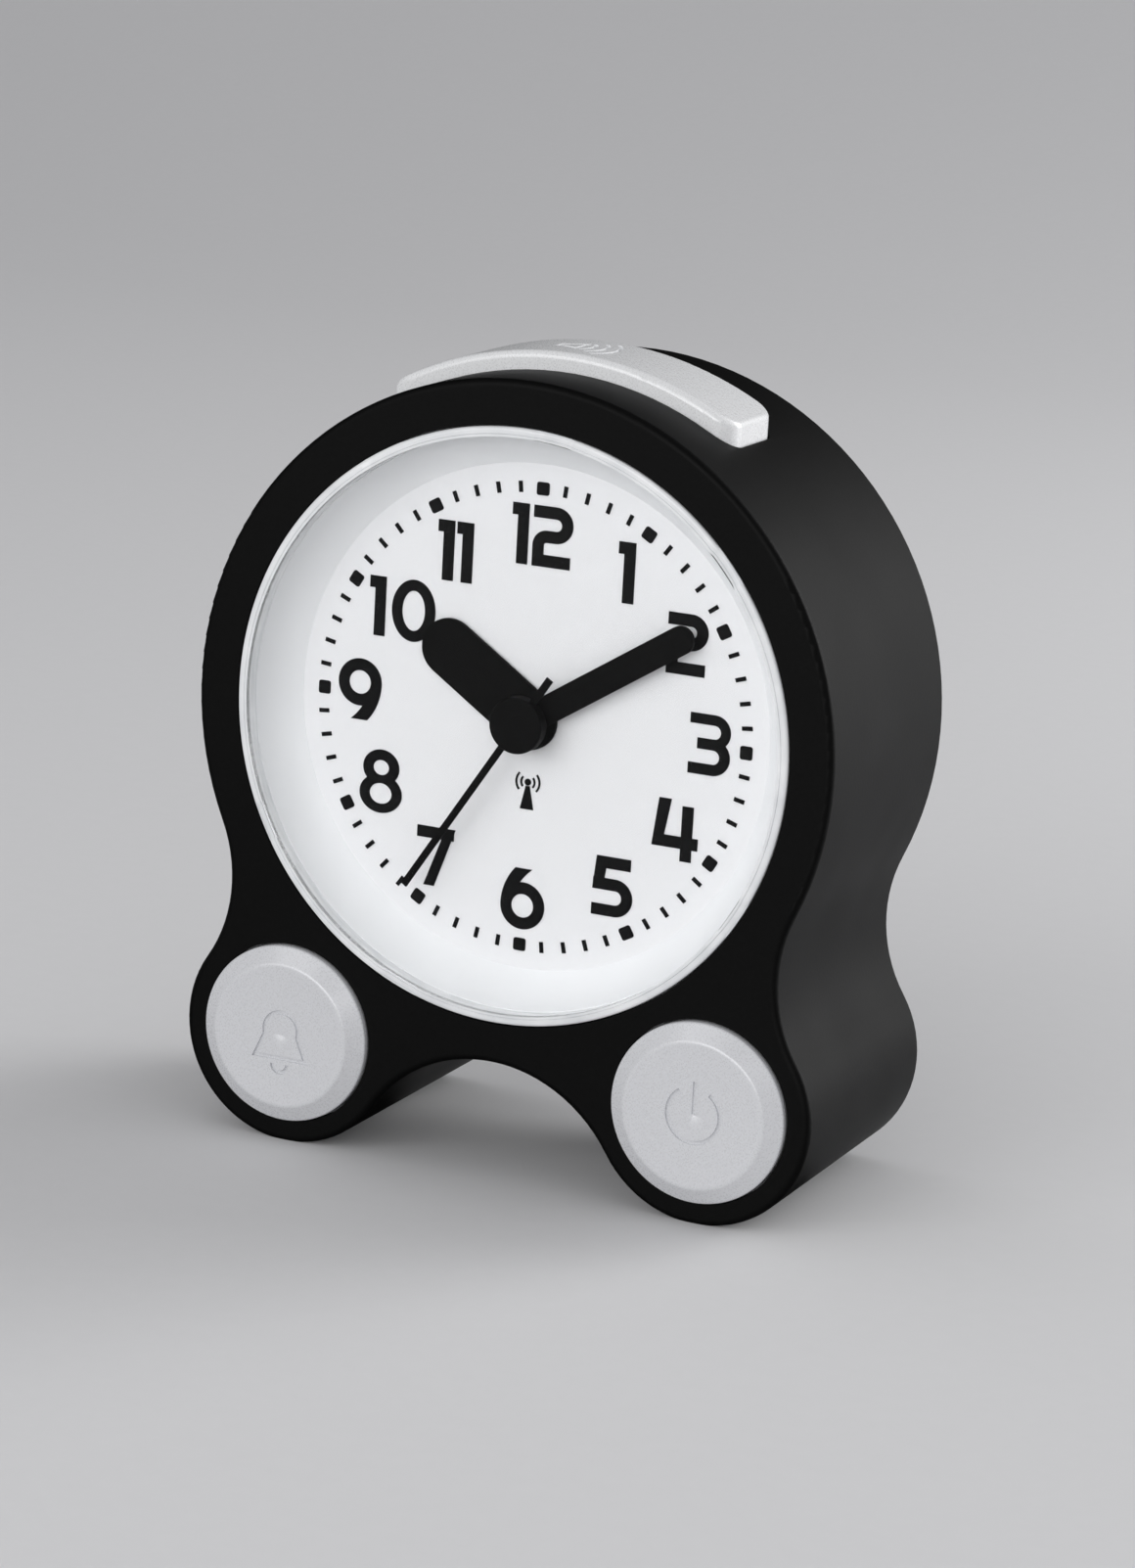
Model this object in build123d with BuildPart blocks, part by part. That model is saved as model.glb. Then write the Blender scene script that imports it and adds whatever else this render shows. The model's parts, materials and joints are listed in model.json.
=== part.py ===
"""Talking table clock: two-footed case, white dial, three hands, talk bar and two big buttons.

Units are millimetres. +Z is up and the dial looks along -Y. The origin is at the middle of the
clock's footprint, on the table. Sketches of round pieces are drawn looking at the dial, with their
middle on the clock's axis.
"""

import os
from math import acos, cos, degrees, pi, radians, sin, sqrt

from build123d import *

os.makedirs("parts", exist_ok=True)

# Case outline, seen from the front
head_radius = 44.6
foot_radius = 15.1
foot_side_inset = 15.0
foot_drop_offset = 0.7
waist_radius = 19.5
arch_radius = 20.0
foot_flat_depth = 0.25
body_depth = 38.4
side_wall = 2.0
front_wall = 2.2
front_edge_round = 0.9
back_edge_round = 0.5

# Clearances and overruns
fit_gap = 0.1
slide_gap = 0.25
rest_gap = 0.3
cut_over = 1.0

# Rear cover
cover_thickness = 2.0
cover_rebate = 1.0
cover_gap = 0.15
cover_edge_round = 0.4

# Case screws and the posts that they bite into
case_screw_radius = 1.3
case_screw_head_radius = 2.5
case_screw_head_height = 1.0
case_screw_length = 8.0
case_screw_gap = 0.2
case_post_radius = 3.0
upper_post_inset = 4.71
upper_post_angle = 38.08
upper_post_front_y = -8.0
lower_post_x = 11.5
lower_post_z = -43.2
screw_recess_depth = 1.0
screw_head_round_share = 0.4
cross_slot_width = 0.6
cross_slot_share = 0.62
cross_slot_depth_share = 0.55

# Lens and bezel opening
bezel_width = 5.76
lens_side_gap = 0.16
lens_proud = 0.2
lens_thickness = 1.2
lens_rim_round = 0.5
lens_skirt_thickness = 1.3
lens_skirt_end_depth = 2.85
lens_notch_width = 5.2
lens_notch_height = 1.1
lens_notch_angles = (83.5, 41.0, -31.0, -111.0, -153.5, 120.0)

# White surround between the lens and the dial
dial_depth = 8.0
surround_flange_overlap = 1.96
surround_flange_thickness = 2.0
surround_lip_gap = 0.08
surround_step_gap = 0.32
surround_wall = 1.4
cone_run = 4.2
cone_sag = 0.35
surround_boss_radius = 2.2
hook_angles = (60.0, 120.0, -15.0, 195.0)
hook_width = 5.0
hook_thickness = 1.0
hook_reach = 2.4

# Dial and its printed marks, which keep their distances to the edge of the surround's opening
dial_overlap = 1.6
dial_thickness = 1.0
dial_hole_radius = 3.3
print_thickness = 0.12
hour_mark_inset = 3.15
hour_mark_width = 1.75
hour_mark_length = 1.7
hour_mark_round = 0.32
minute_mark_inset = 3.05
minute_mark_width = 0.55
minute_mark_length = 1.45
hours_on_dial = 12
minutes_on_dial = 60

# Numerals: a pen width and how far in from the opening's edge the circle of their middles lies
numeral_stroke = 1.57
numeral_inset = 9.1

# Bars of each digit in pen widths: left, right, bottom, top
digit_bar_shares = {
    "0": [],
    "1": [(0.0, 1.5, 4.0, 5.0), (0.5, 1.5, 0.0, 5.0)],
    "2": [(0.0, 2.05, 4.0, 5.0), (1.25, 2.05, 2.0, 3.0), (0.0, 1.0, 0.0, 1.75), (0.0, 3.4, 0.0, 1.0)],
    "3": [(0.0, 2.15, 4.15, 5.0), (0.7, 2.15, 2.1, 3.0), (0.0, 2.15, 0.0, 0.92)],
    "4": [(0.12, 4.05, 1.03, 2.03), (2.55, 3.54, 0.0, 4.6)],
    "5": [(0.27, 3.33, 4.0, 5.0), (0.04, 2.04, 2.18, 3.17), (0.0, 2.04, 0.0, 0.97)],
    "6": [],
    "7": [(0.0, 3.4, 4.05, 5.03)],
    "8": [],
    "9": [],
}
# Half and quarter rings in pen widths: middle x and z, outer radius, inner radius, first and last degree
digit_bend_shares = {
    "2": [(2.05, 3.5, 1.5, 0.5, -90.0, 90.0), (1.25, 1.75, 1.25, 0.25, 90.0, 180.0)],
    "3": [(2.15, 3.575, 1.425, 0.575, -90.0, 90.0), (2.1, 1.51, 1.51, 0.59, -90.0, 90.0)],
    "5": [(2.04, 1.585, 1.585, 0.605, -90.0, 90.0)],
}
# Slanted strokes in pen widths: corners in order
digit_slant_shares = {
    "4": [[(0.48, 5.05), (1.57, 5.05), (1.06, 2.03), (1.06, 1.03), (0.0, 1.03)]],
    "5": [[(0.27, 5.0), (1.3, 5.0), (1.04, 3.17), (1.04, 2.18), (0.0, 2.18)]],
    "7": [[(2.27, 5.03), (3.52, 5.03), (1.76, 0.0), (0.78, 0.0), (2.27, 4.05)]],
}
# Oval rings in pen widths: middle x and z, outer half width and height, inner half width and height
digit_oval_shares = {
    "0": [(2.0, 2.6, 2.0, 2.6, 1.05, 1.68)],
    "6": [(2.0, 2.0, 2.0, 2.0, 1.0, 1.0)],
    "8": [(1.96, 1.66, 1.97, 1.66, 1.03, 0.88), (1.92, 3.87, 1.68, 1.53, 0.73, 0.64)],
}
# The hooked stroke of a six in pen widths: three points of its outer curve, three of its inner one
six_hook_shares = [(0.0, 2.0), (0.32, 3.7), (1.21, 5.17), (2.74, 5.17), (1.62, 3.85), (1.0, 2.0)]
digit_size_shares = {
    "0": (4.0, 5.2),
    "1": (1.5, 5.0),
    "2": (3.55, 5.0),
    "3": (3.6, 5.0),
    "4": (4.05, 5.05),
    "5": (3.63, 5.0),
    "6": (4.0, 5.17),
    "7": (3.52, 5.03),
    "8": (3.93, 5.4),
    "9": (4.0, 5.17),
}
# Where each numeral's middle lies, as shares of the numeral circle, and its letter gap in pen widths
numeral_place_shares = {
    "1": (0.505, 0.863, 0.0),
    "2": (0.878, 0.529, 0.0),
    "3": (1.039, 0.012, 0.0),
    "4": (0.872, -0.474, 0.0),
    "5": (0.53, -0.843, 0.0),
    "6": (0.005, -0.994, 0.0),
    "7": (-0.531, -0.844, 0.0),
    "8": (-0.879, -0.475, 0.0),
    "9": (-1.033, 0.019, 0.0),
    "10": (-0.798, 0.492, 0.6),
    "11": (-0.498, 0.848, 0.22),
    "12": (0.008, 0.995, 0.41),
}

# Radio mast sign on the dial
mast_height = 3.1
mast_base_width = 1.9
mast_top_width = 0.55
mast_foot_z = -11.9
mast_dot_radius = 0.45
mast_dot_z = -8.3
mast_wave_radii = (0.95, 1.65)
mast_wave_width = 0.26
mast_wave_span = 84.0

# Hands: widths, distance of the tips to the opening's edge, place in front of the dial and angle from twelve
hand_thickness = 0.5
hour_hand_width = 7.75
hour_hand_inset = 15.05
hour_hand_lift = 0.4
hour_hand_angle = 303.5
minute_hand_width = 3.7
minute_hand_inset = 6.3
minute_hand_lift = 1.8
minute_hand_angle = 57.1
minute_collet_radius = 2.4
minute_collet_length = 0.4
second_hand_width = 0.93
second_hand_inset = 5.15
second_tail_width = 1.0
second_tail_reach = 7.7
second_hand_lift = 3.9
second_hand_thickness = 0.3
second_hand_angle = 212.8
cap_radius = 3.68
cap_lift = 3.2
cap_front_lift = 4.95
cap_edge_round = 0.25
cap_bore_depth = 1.4

# Arbors and pipes on the clock's axis
arbor_radius = 0.5
arbor_gap = 0.1
cannon_outer_radius = 1.4
hour_pipe_outer_radius = 2.3
axle_boss_radius = 3.2
axle_boss_set_back = 0.2
pipe_proud = 0.2

# Movement case and plates
carrier_overlap = 1.5
carrier_thickness = 1.2
carrier_ear_offset = 1.4
carrier_ear_radius = 2.4
carrier_ear_angles = (45.0, 135.0, 225.0, 315.0)
carrier_screw_radius = 1.0
carrier_screw_length = 4.5
carrier_screw_head_radius = 1.9
carrier_screw_head_height = 1.1
movement_width = 46.0
movement_height = 38.0
movement_middle_z = -3.0
movement_wall = 1.0
movement_inner_depth = 9.8
movement_cover_thickness = 1.0
mid_plate_set_back = 5.4
mid_plate_thickness = 0.6
pillar_radius = 1.6
pillar_upper_x = 19.6
pillar_upper_z = 12.6
pillar_lower_x = 4.5
pillar_lower_z = -18.6
bearing_depth = 0.6

# Gears: tooth counts, modules and the levels they run at, measured from the carrier's back
leaf_teeth = 8
transfer_teeth = 32
hour_teeth = 24
hand_wheel_teeth = 48
third_wheel_teeth = 40
transfer_module = 0.4
hour_module = 0.5
train_module = 0.3
addendum_share = 0.8
dedendum_share = 1.15
root_width_share = 0.30
tip_width_share = 0.11
leaf_root_width_share = 0.24
leaf_tip_width_share = 0.09
wheel_thickness = 0.8
leaf_thickness = 1.0
hour_wheel_level = 0.2
cannon_leaf_level = 1.6
hand_wheel_level = 3.0
leaf_lead = 0.1
third_wheel_level = 4.2
train_step = 3.3
transfer_stud_radius = 0.6
transfer_stud_length = 2.5
train_angle = 210.0

# Step motors
rotor_radius = 2.0
rotor_length = 2.2
rotor_level = 0.5
stator_thickness = 0.6
stator_level = 1.3
stator_hole_gap = 0.4
stator_left = 7.0
stator_right = 4.5
stator_top = 2.9
stator_bottom = 11.7
stator_leg = 2.2
stator_core = 1.6
stator_window_top = 3.7
coil_length = 6.6
coil_height = 4.5
coil_depth = 2.6
coil_round = 0.9

# Talk bar on top
bar_length = 48.2
bar_depth = 14.0
bar_corner_round = 3.0
bar_proud = 2.4
bar_front_set_back = 10.6
bar_edge_round = 0.9
bar_wall = 1.6
bar_flange_gap = 0.4
bar_flange_width = 1.2
bar_flange_thickness = 1.2
bar_roof_thickness = 1.7
bar_travel = 1.2
bar_sign_depth = 0.3
bar_spring_height = 9.5
bar_seat_radius = 3.0
bar_pin_radius = 1.8
bar_pin_length = 1.5
bar_spring_x = 13.0
bar_spring_radius = 2.4
bar_spring_wire = 0.5
bar_spring_turns = 7
shelf_drop = 16.3
shelf_thickness = 1.5
shelf_width = 37.0
shelf_reach = 11.5
talk_board_length = 12.0
talk_board_depth = 8.0
board_thickness = 1.2

# Push switches
switch_size = 6.0
switch_height = 3.6
switch_corner_round = 0.5
switch_pocket_radius = 1.35
switch_pocket_spare = 0.8
stem_tip_radius = 1.1
stem_radius = 2.2
stem_entry = 0.1
stem_shoulder = 1.9

# Two big front buttons
button_radius = 11.9
button_hole_radius = 12.15
button_proud = 2.0
button_face_radius = 9.6
button_face_round = 0.7
button_dish_depth = 0.45
button_edge_height = 0.55
button_edge_round = 0.35
button_wall = 1.6
button_skirt_length = 6.2
button_flange_radius = 12.75
button_flange_thickness = 1.2
button_travel = 1.2
button_sign_depth = 0.25
button_seat_depth = 7.7
button_seat_radius = 6.4
button_guide_radius = 4.6
button_guide_length = 2.0
button_spring_radius = 5.2
button_spring_wire = 0.7
button_spring_turns = 6
button_board_radius = 10.4
button_board_front_y = -3.2
button_post_radius = 6.0
button_post_wall = 1.5
button_peg_radius = 0.6

# Bell, power and sound signs: pen width and sizes in millimetres
sign_pen = 0.55
bell_width = 6.4
bell_height = 6.8
bell_top_share = 0.42
bell_rim_share = 1.3
clapper_radius = 0.85
power_radius = 3.9
power_gap_degrees = 34.0
power_bar_length = 4.3
sound_box_size = 2.2
sound_horn_size = 5.0
sound_wave_radii = (3.8, 5.4, 7.0)
sound_wave_span = 80.0

# Main board and its parts
main_board_front_y = 3.0
main_board_thickness = 1.6
main_board_edge_gap = 4.2
main_board_side_inset = 2.4
main_board_tray_gap = 0.5
main_board_shoulder_z = 17.0
main_board_top_inset = 1.4
board_post_radius = 2.2
board_screw_radius = 1.0
board_screw_length = 6.0
board_screw_head_radius = 1.8
board_screw_head_height = 0.9
board_post_edge_inset = 2.19
board_post_angle = 54.55
board_post_side_inset = 5.0
board_post_lower_x = 22.0
board_post_bottom_inset = 3.2
chip_height = 1.6
voice_chip_size = (12.0, 9.0)
voice_chip_offset = 11.0
voice_chip_z = 8.0
clock_chip_size = (8.0, 8.0)
clock_chip_offset = 11.5
clock_chip_z = 12.5
crystal_radius = 1.5
crystal_length = 8.0
crystal_x = 9.0
crystal_bottom_inset = 2.4
capacitor_radius = 2.5
capacitor_height = 7.5
capacitor_columns = (-12.0, -5.5)
capacitor_bottom_inset = 3.2

# Speaker behind the grille
speaker_radius = 16.0
speaker_rim_thickness = 1.2
speaker_rim_width = 2.2
speaker_depth = 6.0
speaker_floor_radius = 9.8
speaker_basket_wall = 1.2
speaker_floor_thickness = 0.8
speaker_shoulder_radius = 14.6
speaker_ring_wall = 1.0
speaker_hook_width = 5.0
speaker_hook_reach = 1.2
speaker_hook_angles = (90.0, 210.0, 330.0)
speaker_magnet_radius = 7.8
speaker_magnet_thickness = 3.6
cone_rest_gap = 0.35
cone_thickness = 0.4
cone_cap_radius = 4.5
cone_cap_rise = 1.25
cone_depth = 3.4
grille_ring_radii = (3.0, 6.2, 9.4, 12.6)
grille_slot_width = 1.5
grille_bridge_degrees = 24.0
grille_bridges = 3

# Battery tray, cells and contacts
cell_radius = 7.1
cell_length = 49.2
cell_nub_radius = 2.7
cell_nub_length = 1.2
cell_edge_round = 0.6
cell_gap = 0.2
cell_door_gap = 0.3
upper_cell_z = -13.6
tray_wall = 0.8
tray_half_width = 28.4
tray_rim_width = 1.2
tray_rim_depth = 1.0
contact_thickness = 0.4
contact_size = 9.0
contact_spring_radius = 3.0
contact_spring_tip_radius = 1.8
contact_spring_wire = 0.6
contact_spring_turns = 3
cradle_rib_x = 16.0
cradle_rib_width = 1.6
cradle_rib_share = 0.45

# Battery door
door_thickness = 1.6
door_gap = 0.3
door_pin_radius = 0.45
door_pin_gap = 0.08
door_pin_length = 0.8
door_tongue_width = 12.0
door_tongue_thickness = 0.8
door_tongue_reach = 2.2
door_grip_width = 14.0
door_grip_height = 3.0
door_grip_depth = 0.8
door_grip_rise = 4.5
door_rib_thickness = 0.4
door_rib_height = 0.6
door_rib_pitch = 1.1
door_rib_count = 3

# Rear setting buttons and volume switch
set_button_radius = 2.6
set_button_proud = 1.5
set_button_travel = 0.8
set_button_inset = 4.0
set_button_heights = (13.5, 6.0, -1.5)
set_collar_radius = 3.3
set_collar_thickness = 1.0
set_stem_radius = 1.8
set_edge_round = 0.4
volume_z = 7.0
volume_slot_width = 3.2
volume_slot_height = 9.6
volume_knob_width = 2.6
volume_knob_height = 4.2
volume_travel = 2.5
volume_body_width = 6.0
volume_body_height = 13.0
volume_body_depth = 4.5
volume_shoe_width = 5.0
volume_shoe_height = 7.0
volume_shoe_thickness = 0.8
volume_knob_proud = 1.2
volume_lever_width = 1.8
volume_lever_height = 2.4
volume_lever_entry = 0.9
volume_groove_depth = 1.4

# Radio aerial
rod_radius = 4.0
rod_length = 54.0
rod_drop = 5.5
rod_back_gap = 1.6
rod_coil_radius = 5.1
rod_coil_length = 22.0
rod_clip_inset = 6.0
rod_clip_width = 3.0
rod_clip_wall = 1.6

# Leads between the boards, the speaker, the aerial and the battery contacts: bends as x, y and height
lead_radius = 0.4
lead_pitch = 1.3
contact_tab_width = 2.0
contact_tab_length = 2.2
contact_tab_rise = 2.6
contact_tab_gap = 0.1
speaker_lead_bend = (1.0, 10.5, 2.2)
speaker_lead_end = (1.3, 0.6)
button_lead_offset = (1.9, 7.8)
button_lead_bends = ((33.4, 1.2, -30.0), (33.2, -1.0, -16.0))
button_lead_end_inset = (3.0, 1.8)
talk_lead_start = (4.9, 1.4)
talk_lead_rise = 5.0
aerial_lead_bends = ((19.0, 1.15, -27.5), (25.6, 0.4, -20.0), (26.4, 0.4, -9.0))
aerial_lead_end_inset = (9.6, 1.6)
upper_lead_bends = ((29.4, 9.8, -6.6), (28.3, 9.4, -3.6))
upper_lead_end_inset = (9.4, 1.6)
lower_lead_bends = ((29.7, 11.8, -15.0), (29.4, 12.0, -5.0))
lower_lead_end_inset = (9.4, 5.2)

# Values that follow from the driving sizes
foot_x = head_radius - foot_side_inset
foot_drop = head_radius + foot_drop_offset
head_z = foot_drop + foot_radius - foot_flat_depth
front_y = -body_depth / 2
back_y = body_depth / 2
front_wall_back_y = front_y + front_wall
cover_front_y = back_y - cover_thickness
dial_y = front_y + dial_depth
dial_back_y = dial_y + dial_thickness
carrier_back_y = dial_back_y + carrier_thickness
movement_rear_y = carrier_back_y + movement_inner_depth
mid_plate_y = carrier_back_y + mid_plate_set_back

# Round pieces at the front, from the case's edge inwards
bezel_radius = head_radius - bezel_width
lens_radius = bezel_radius - lens_side_gap
surround_flange_radius = bezel_radius + surround_flange_overlap
surround_step_radius = lens_radius + surround_step_gap
surround_lip_radius = lens_radius - lens_skirt_thickness - surround_lip_gap
dial_opening_radius = surround_lip_radius - cone_run
dial_radius = dial_opening_radius + dial_overlap
hour_mark_circle = dial_opening_radius - hour_mark_inset
minute_mark_circle = dial_opening_radius - minute_mark_inset
numeral_circle = dial_opening_radius - numeral_inset
hour_hand_reach = dial_opening_radius - hour_hand_inset
minute_hand_reach = dial_opening_radius - minute_hand_inset
second_hand_reach = dial_opening_radius - second_hand_inset
carrier_radius = dial_radius + carrier_overlap
carrier_ear_circle = carrier_radius + carrier_ear_offset

# Talk bar and the shelf under it, from the top of the case downwards
bar_top_radius = head_radius + bar_proud
bar_roof_radius = bar_top_radius - bar_roof_thickness
bar_skirt_radius = head_radius - side_wall - bar_flange_gap - bar_flange_thickness
shelf_top_z = bar_roof_radius - shelf_drop
bar_seat_z = shelf_top_z + bar_spring_height

# Battery tray, and the speaker midway between it and the top of the case
cell_middle_y = back_y - door_thickness - cell_door_gap - cell_radius
lower_cell_z = upper_cell_z - 2 * (cell_radius + cell_gap)
tray_top_z = upper_cell_z + cell_radius + cell_gap + tray_wall
tray_bottom_z = lower_cell_z - cell_radius - cell_gap - tray_wall
tray_front_y = cell_middle_y - cell_radius - cell_gap - tray_wall
speaker_middle_z = (tray_top_z + tray_rim_width + head_radius - side_wall) / 2

# Main board over the tray, with what stands on it
main_board_radius = head_radius - side_wall - main_board_edge_gap
main_board_width = 2 * (main_board_radius - main_board_side_inset)
main_board_top_z = main_board_radius - main_board_top_inset
main_board_bottom_z = tray_top_z + main_board_tray_gap
board_post_lower = (board_post_lower_x, main_board_bottom_z + board_post_bottom_inset)
set_button_x = main_board_width / 2 - set_button_inset
volume_x = -set_button_x
voice_chip_place = (voice_chip_offset - set_button_x, voice_chip_z)
clock_chip_place = (set_button_x - clock_chip_offset, clock_chip_z)
crystal_place = (crystal_x, main_board_bottom_z + crystal_bottom_inset)
capacitor_places = [(x, main_board_bottom_z + capacitor_bottom_inset) for x in capacitor_columns]

# Aerial under the movement
rod_middle_z = movement_middle_z - movement_height / 2 - rod_drop
rod_clip_x = rod_length / 2 - rod_clip_inset
rod_clip_reach = rod_radius + rod_clip_wall
clock_axis = Axis((0, 0, head_z), (0, 1, 0))


def facing_plane(y):
    """A sketch plane at depth y, centred on the clock's axis, whose extrusions run to the front."""
    return Plane(origin=(0, y, head_z), x_dir=(1, 0, 0), z_dir=(0, -1, 0))


def turning_plane():
    """A sketch plane through the clock's axis: x is the radius and y is the depth."""
    return Plane(origin=(0, 0, head_z), x_dir=(1, 0, 0), z_dir=(0, 0, 1))


def level_plane(height):
    """A level sketch plane at a height above the clock's axis."""
    return Plane(origin=(0, 0, head_z + height), x_dir=(1, 0, 0), z_dir=(0, 0, 1))


def toward(start, end, distance):
    """The point at a distance from start on the line to end."""
    dx = end[0] - start[0]
    dz = end[1] - start[1]
    length = sqrt(dx * dx + dz * dz)
    return (start[0] + dx / length * distance, start[1] + dz / length * distance)


def polar(radius, degree):
    """A point on a circle about the clock's axis."""
    return (radius * cos(radians(degree)), radius * sin(radians(degree)))


def waist_middle():
    """The middle of the right waist curve, which is tangent to the head and to the foot."""
    head_reach = head_radius + waist_radius
    foot_reach = foot_radius + waist_radius
    span = sqrt(foot_x * foot_x + foot_drop * foot_drop)
    share = (span * span + head_reach * head_reach - foot_reach * foot_reach) / (2 * span * head_reach)
    angle = degrees(acos(share)) - degrees(acos(foot_x / span))
    return polar(head_reach, angle)


def arch_middle_drop():
    """How far below the axis the arch's middle lies, for an arch tangent to both feet."""
    reach = foot_radius + arch_radius
    return foot_drop + sqrt(reach * reach - foot_x * foot_x)


def body_outline(inset):
    """Draw the case's outline, moved in by a wall, as tangent arcs."""
    head = (0, 0)
    foot = (foot_x, -foot_drop)
    waist = waist_middle()
    arch = (0, -arch_middle_drop())
    head_r = head_radius - inset
    foot_r = foot_radius - inset
    waist_r = waist_radius + inset
    arch_r = arch_radius + inset
    shoulder = toward(head, waist, head_r)
    waist_side = toward(waist, ((head[0] + foot[0]) / 2, (head[1] + foot[1]) / 2), waist_r)
    ankle = toward(foot, waist, foot_r)
    sole = (foot_x, -foot_drop - foot_r)
    instep = toward(foot, arch, foot_r)

    def left(point):
        return (-point[0], point[1])

    with BuildLine() as edge:
        ThreePointArc(left(shoulder), (0, head_r), shoulder)
        ThreePointArc(shoulder, waist_side, ankle)
        ThreePointArc(ankle, sole, instep)
        ThreePointArc(instep, (0, arch[1] + arch_r), left(instep))
        ThreePointArc(left(instep), left(sole), left(ankle))
        ThreePointArc(left(ankle), left(waist_side), left(shoulder))
    make_face(edge.edges())


def bar_by_edges(left, right, bottom, top):
    """Draw an upright rectangle from its four edges."""
    with Locations(((left + right) / 2, (bottom + top) / 2)):
        Rectangle(right - left, top - bottom)


def ring_piece(middle, outer, inner, first, last):
    """Draw a piece of a flat ring between two degrees."""
    half = (first + last) / 2
    with BuildLine() as edge:
        outside = [(middle[0] + outer * cos(radians(a)), middle[1] + outer * sin(radians(a)))
                   for a in (first, half, last)]
        inside = [(middle[0] + inner * cos(radians(a)), middle[1] + inner * sin(radians(a)))
                  for a in (last, half, first)]
        ThreePointArc(*outside)
        Line(outside[-1], inside[0])
        ThreePointArc(*inside)
        Line(inside[-1], outside[0])
    make_face(edge.edges())


def hooked_stroke(points):
    """Draw the tapered, curved stroke of a six from three outer and three inner points."""
    with BuildLine() as edge:
        ThreePointArc(points[0], points[1], points[2])
        Line(points[2], points[3])
        ThreePointArc(points[3], points[4], points[5])
        Line(points[5], points[0])
    make_face(edge.edges())


def digit_shape(name):
    """A digit as a flat shape with its lower left corner at the origin."""
    pen = numeral_stroke
    source = "6" if name == "9" else name
    with BuildSketch(mode=Mode.PRIVATE) as digit:
        for left, right, bottom, top in digit_bar_shares[source]:
            bar_by_edges(left * pen, right * pen, bottom * pen, top * pen)
        for x, z, outer, inner, first, last in digit_bend_shares.get(source, []):
            ring_piece((x * pen, z * pen), outer * pen, inner * pen, first, last)
        for corners in digit_slant_shares.get(source, []):
            with BuildLine():
                Polyline(*[(x * pen, z * pen) for x, z in corners], close=True)
            make_face()
        if source == "6":
            hooked_stroke([(x * pen, z * pen) for x, z in six_hook_shares])
        ovals = digit_oval_shares.get(source, [])
        for x, z, wide, high, hole_wide, hole_high in ovals:
            with Locations((x * pen, z * pen)):
                Ellipse(wide * pen, high * pen)
        for x, z, wide, high, hole_wide, hole_high in ovals:
            with Locations((x * pen, z * pen)):
                Ellipse(hole_wide * pen, hole_high * pen, mode=Mode.SUBTRACT)
    shape = digit.sketch
    if name == "9":
        wide, high = digit_size_shares["9"]
        shape = Pos(wide * pen, high * pen) * Rot(0, 0, 180) * shape
    return shape


def draw_numeral(text):
    """Draw an hour numeral on the current sketch with its middle at its own place."""
    pen = numeral_stroke
    x_share, z_share, gap = numeral_place_shares[text]
    width = sum(digit_size_shares[letter][0] for letter in text) * pen + gap * pen * (len(text) - 1)
    left = x_share * numeral_circle - width / 2
    for letter in text:
        letter_width, letter_height = digit_size_shares[letter]
        bottom = z_share * numeral_circle - letter_height * pen / 2
        add(Pos(left, bottom) * digit_shape(letter))
        left = left + (letter_width + gap) * pen


def bell_sign():
    """Draw an outlined bell with its clapper."""
    half = bell_width / 2
    top = bell_height / 2
    with BuildSketch(mode=Mode.PRIVATE) as body:
        with BuildLine():
            ThreePointArc((-half * bell_top_share * 2, 0), (0, top), (half * bell_top_share * 2, 0))
            Line((half * bell_top_share * 2, 0), (half * bell_rim_share, -top))
            Line((half * bell_rim_share, -top), (-half * bell_rim_share, -top))
            Line((-half * bell_rim_share, -top), (-half * bell_top_share * 2, 0))
        make_face()
    inner = offset(body.sketch, amount=-sign_pen, kind=Kind.INTERSECTION, mode=Mode.PRIVATE)
    add(body.sketch)
    add(inner, mode=Mode.SUBTRACT)
    ring_piece((0, -top - sign_pen), clapper_radius + sign_pen, clapper_radius, 180.0, 360.0)


def power_sign():
    """Draw the ring and bar of a power sign."""
    ring_piece((0, 0), power_radius, power_radius - sign_pen, 90.0 + power_gap_degrees,
               450.0 - power_gap_degrees)
    bar_by_edges(-sign_pen / 2, sign_pen / 2, power_radius + sign_pen - power_bar_length,
                 power_radius + sign_pen)


def sound_sign():
    """Draw a loudspeaker with three sound waves."""
    box = sound_box_size / 2
    horn = sound_horn_size / 2
    with BuildSketch(mode=Mode.PRIVATE) as speaker:
        with BuildLine():
            Polyline((-horn - box, -box), (-horn - box, box), (-horn, box), (0, horn), (0, -horn),
                     (-horn, -box), close=True)
        make_face()
    inner = offset(speaker.sketch, amount=-sign_pen, kind=Kind.INTERSECTION, mode=Mode.PRIVATE)
    add(speaker.sketch)
    add(inner, mode=Mode.SUBTRACT)
    for radius in sound_wave_radii:
        ring_piece((-horn, 0), radius + sign_pen / 2, radius - sign_pen / 2, -sound_wave_span / 2,
                   sound_wave_span / 2)


def gear_face(teeth, module, first_tooth, middle, leaf=False):
    """Draw a gear with straight-sided teeth, one of them pointing along first_tooth degrees."""
    tip = (teeth / 2 + addendum_share) * module
    root = (teeth / 2 - dedendum_share) * module
    pitch = 360.0 / teeth
    root_half = pitch * (leaf_root_width_share if leaf else root_width_share)
    tip_half = pitch * (leaf_tip_width_share if leaf else tip_width_share)
    corners = []
    for tooth in range(teeth):
        angle = first_tooth + tooth * pitch
        for radius, turn in ((root, -root_half), (tip, -tip_half), (tip, tip_half), (root, root_half)):
            point = polar(radius, angle + turn)
            corners.append((middle[0] + point[0], middle[1] + point[1]))
    with BuildLine() as edge:
        Polyline(*corners, close=True)
    make_face(edge.edges())


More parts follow.
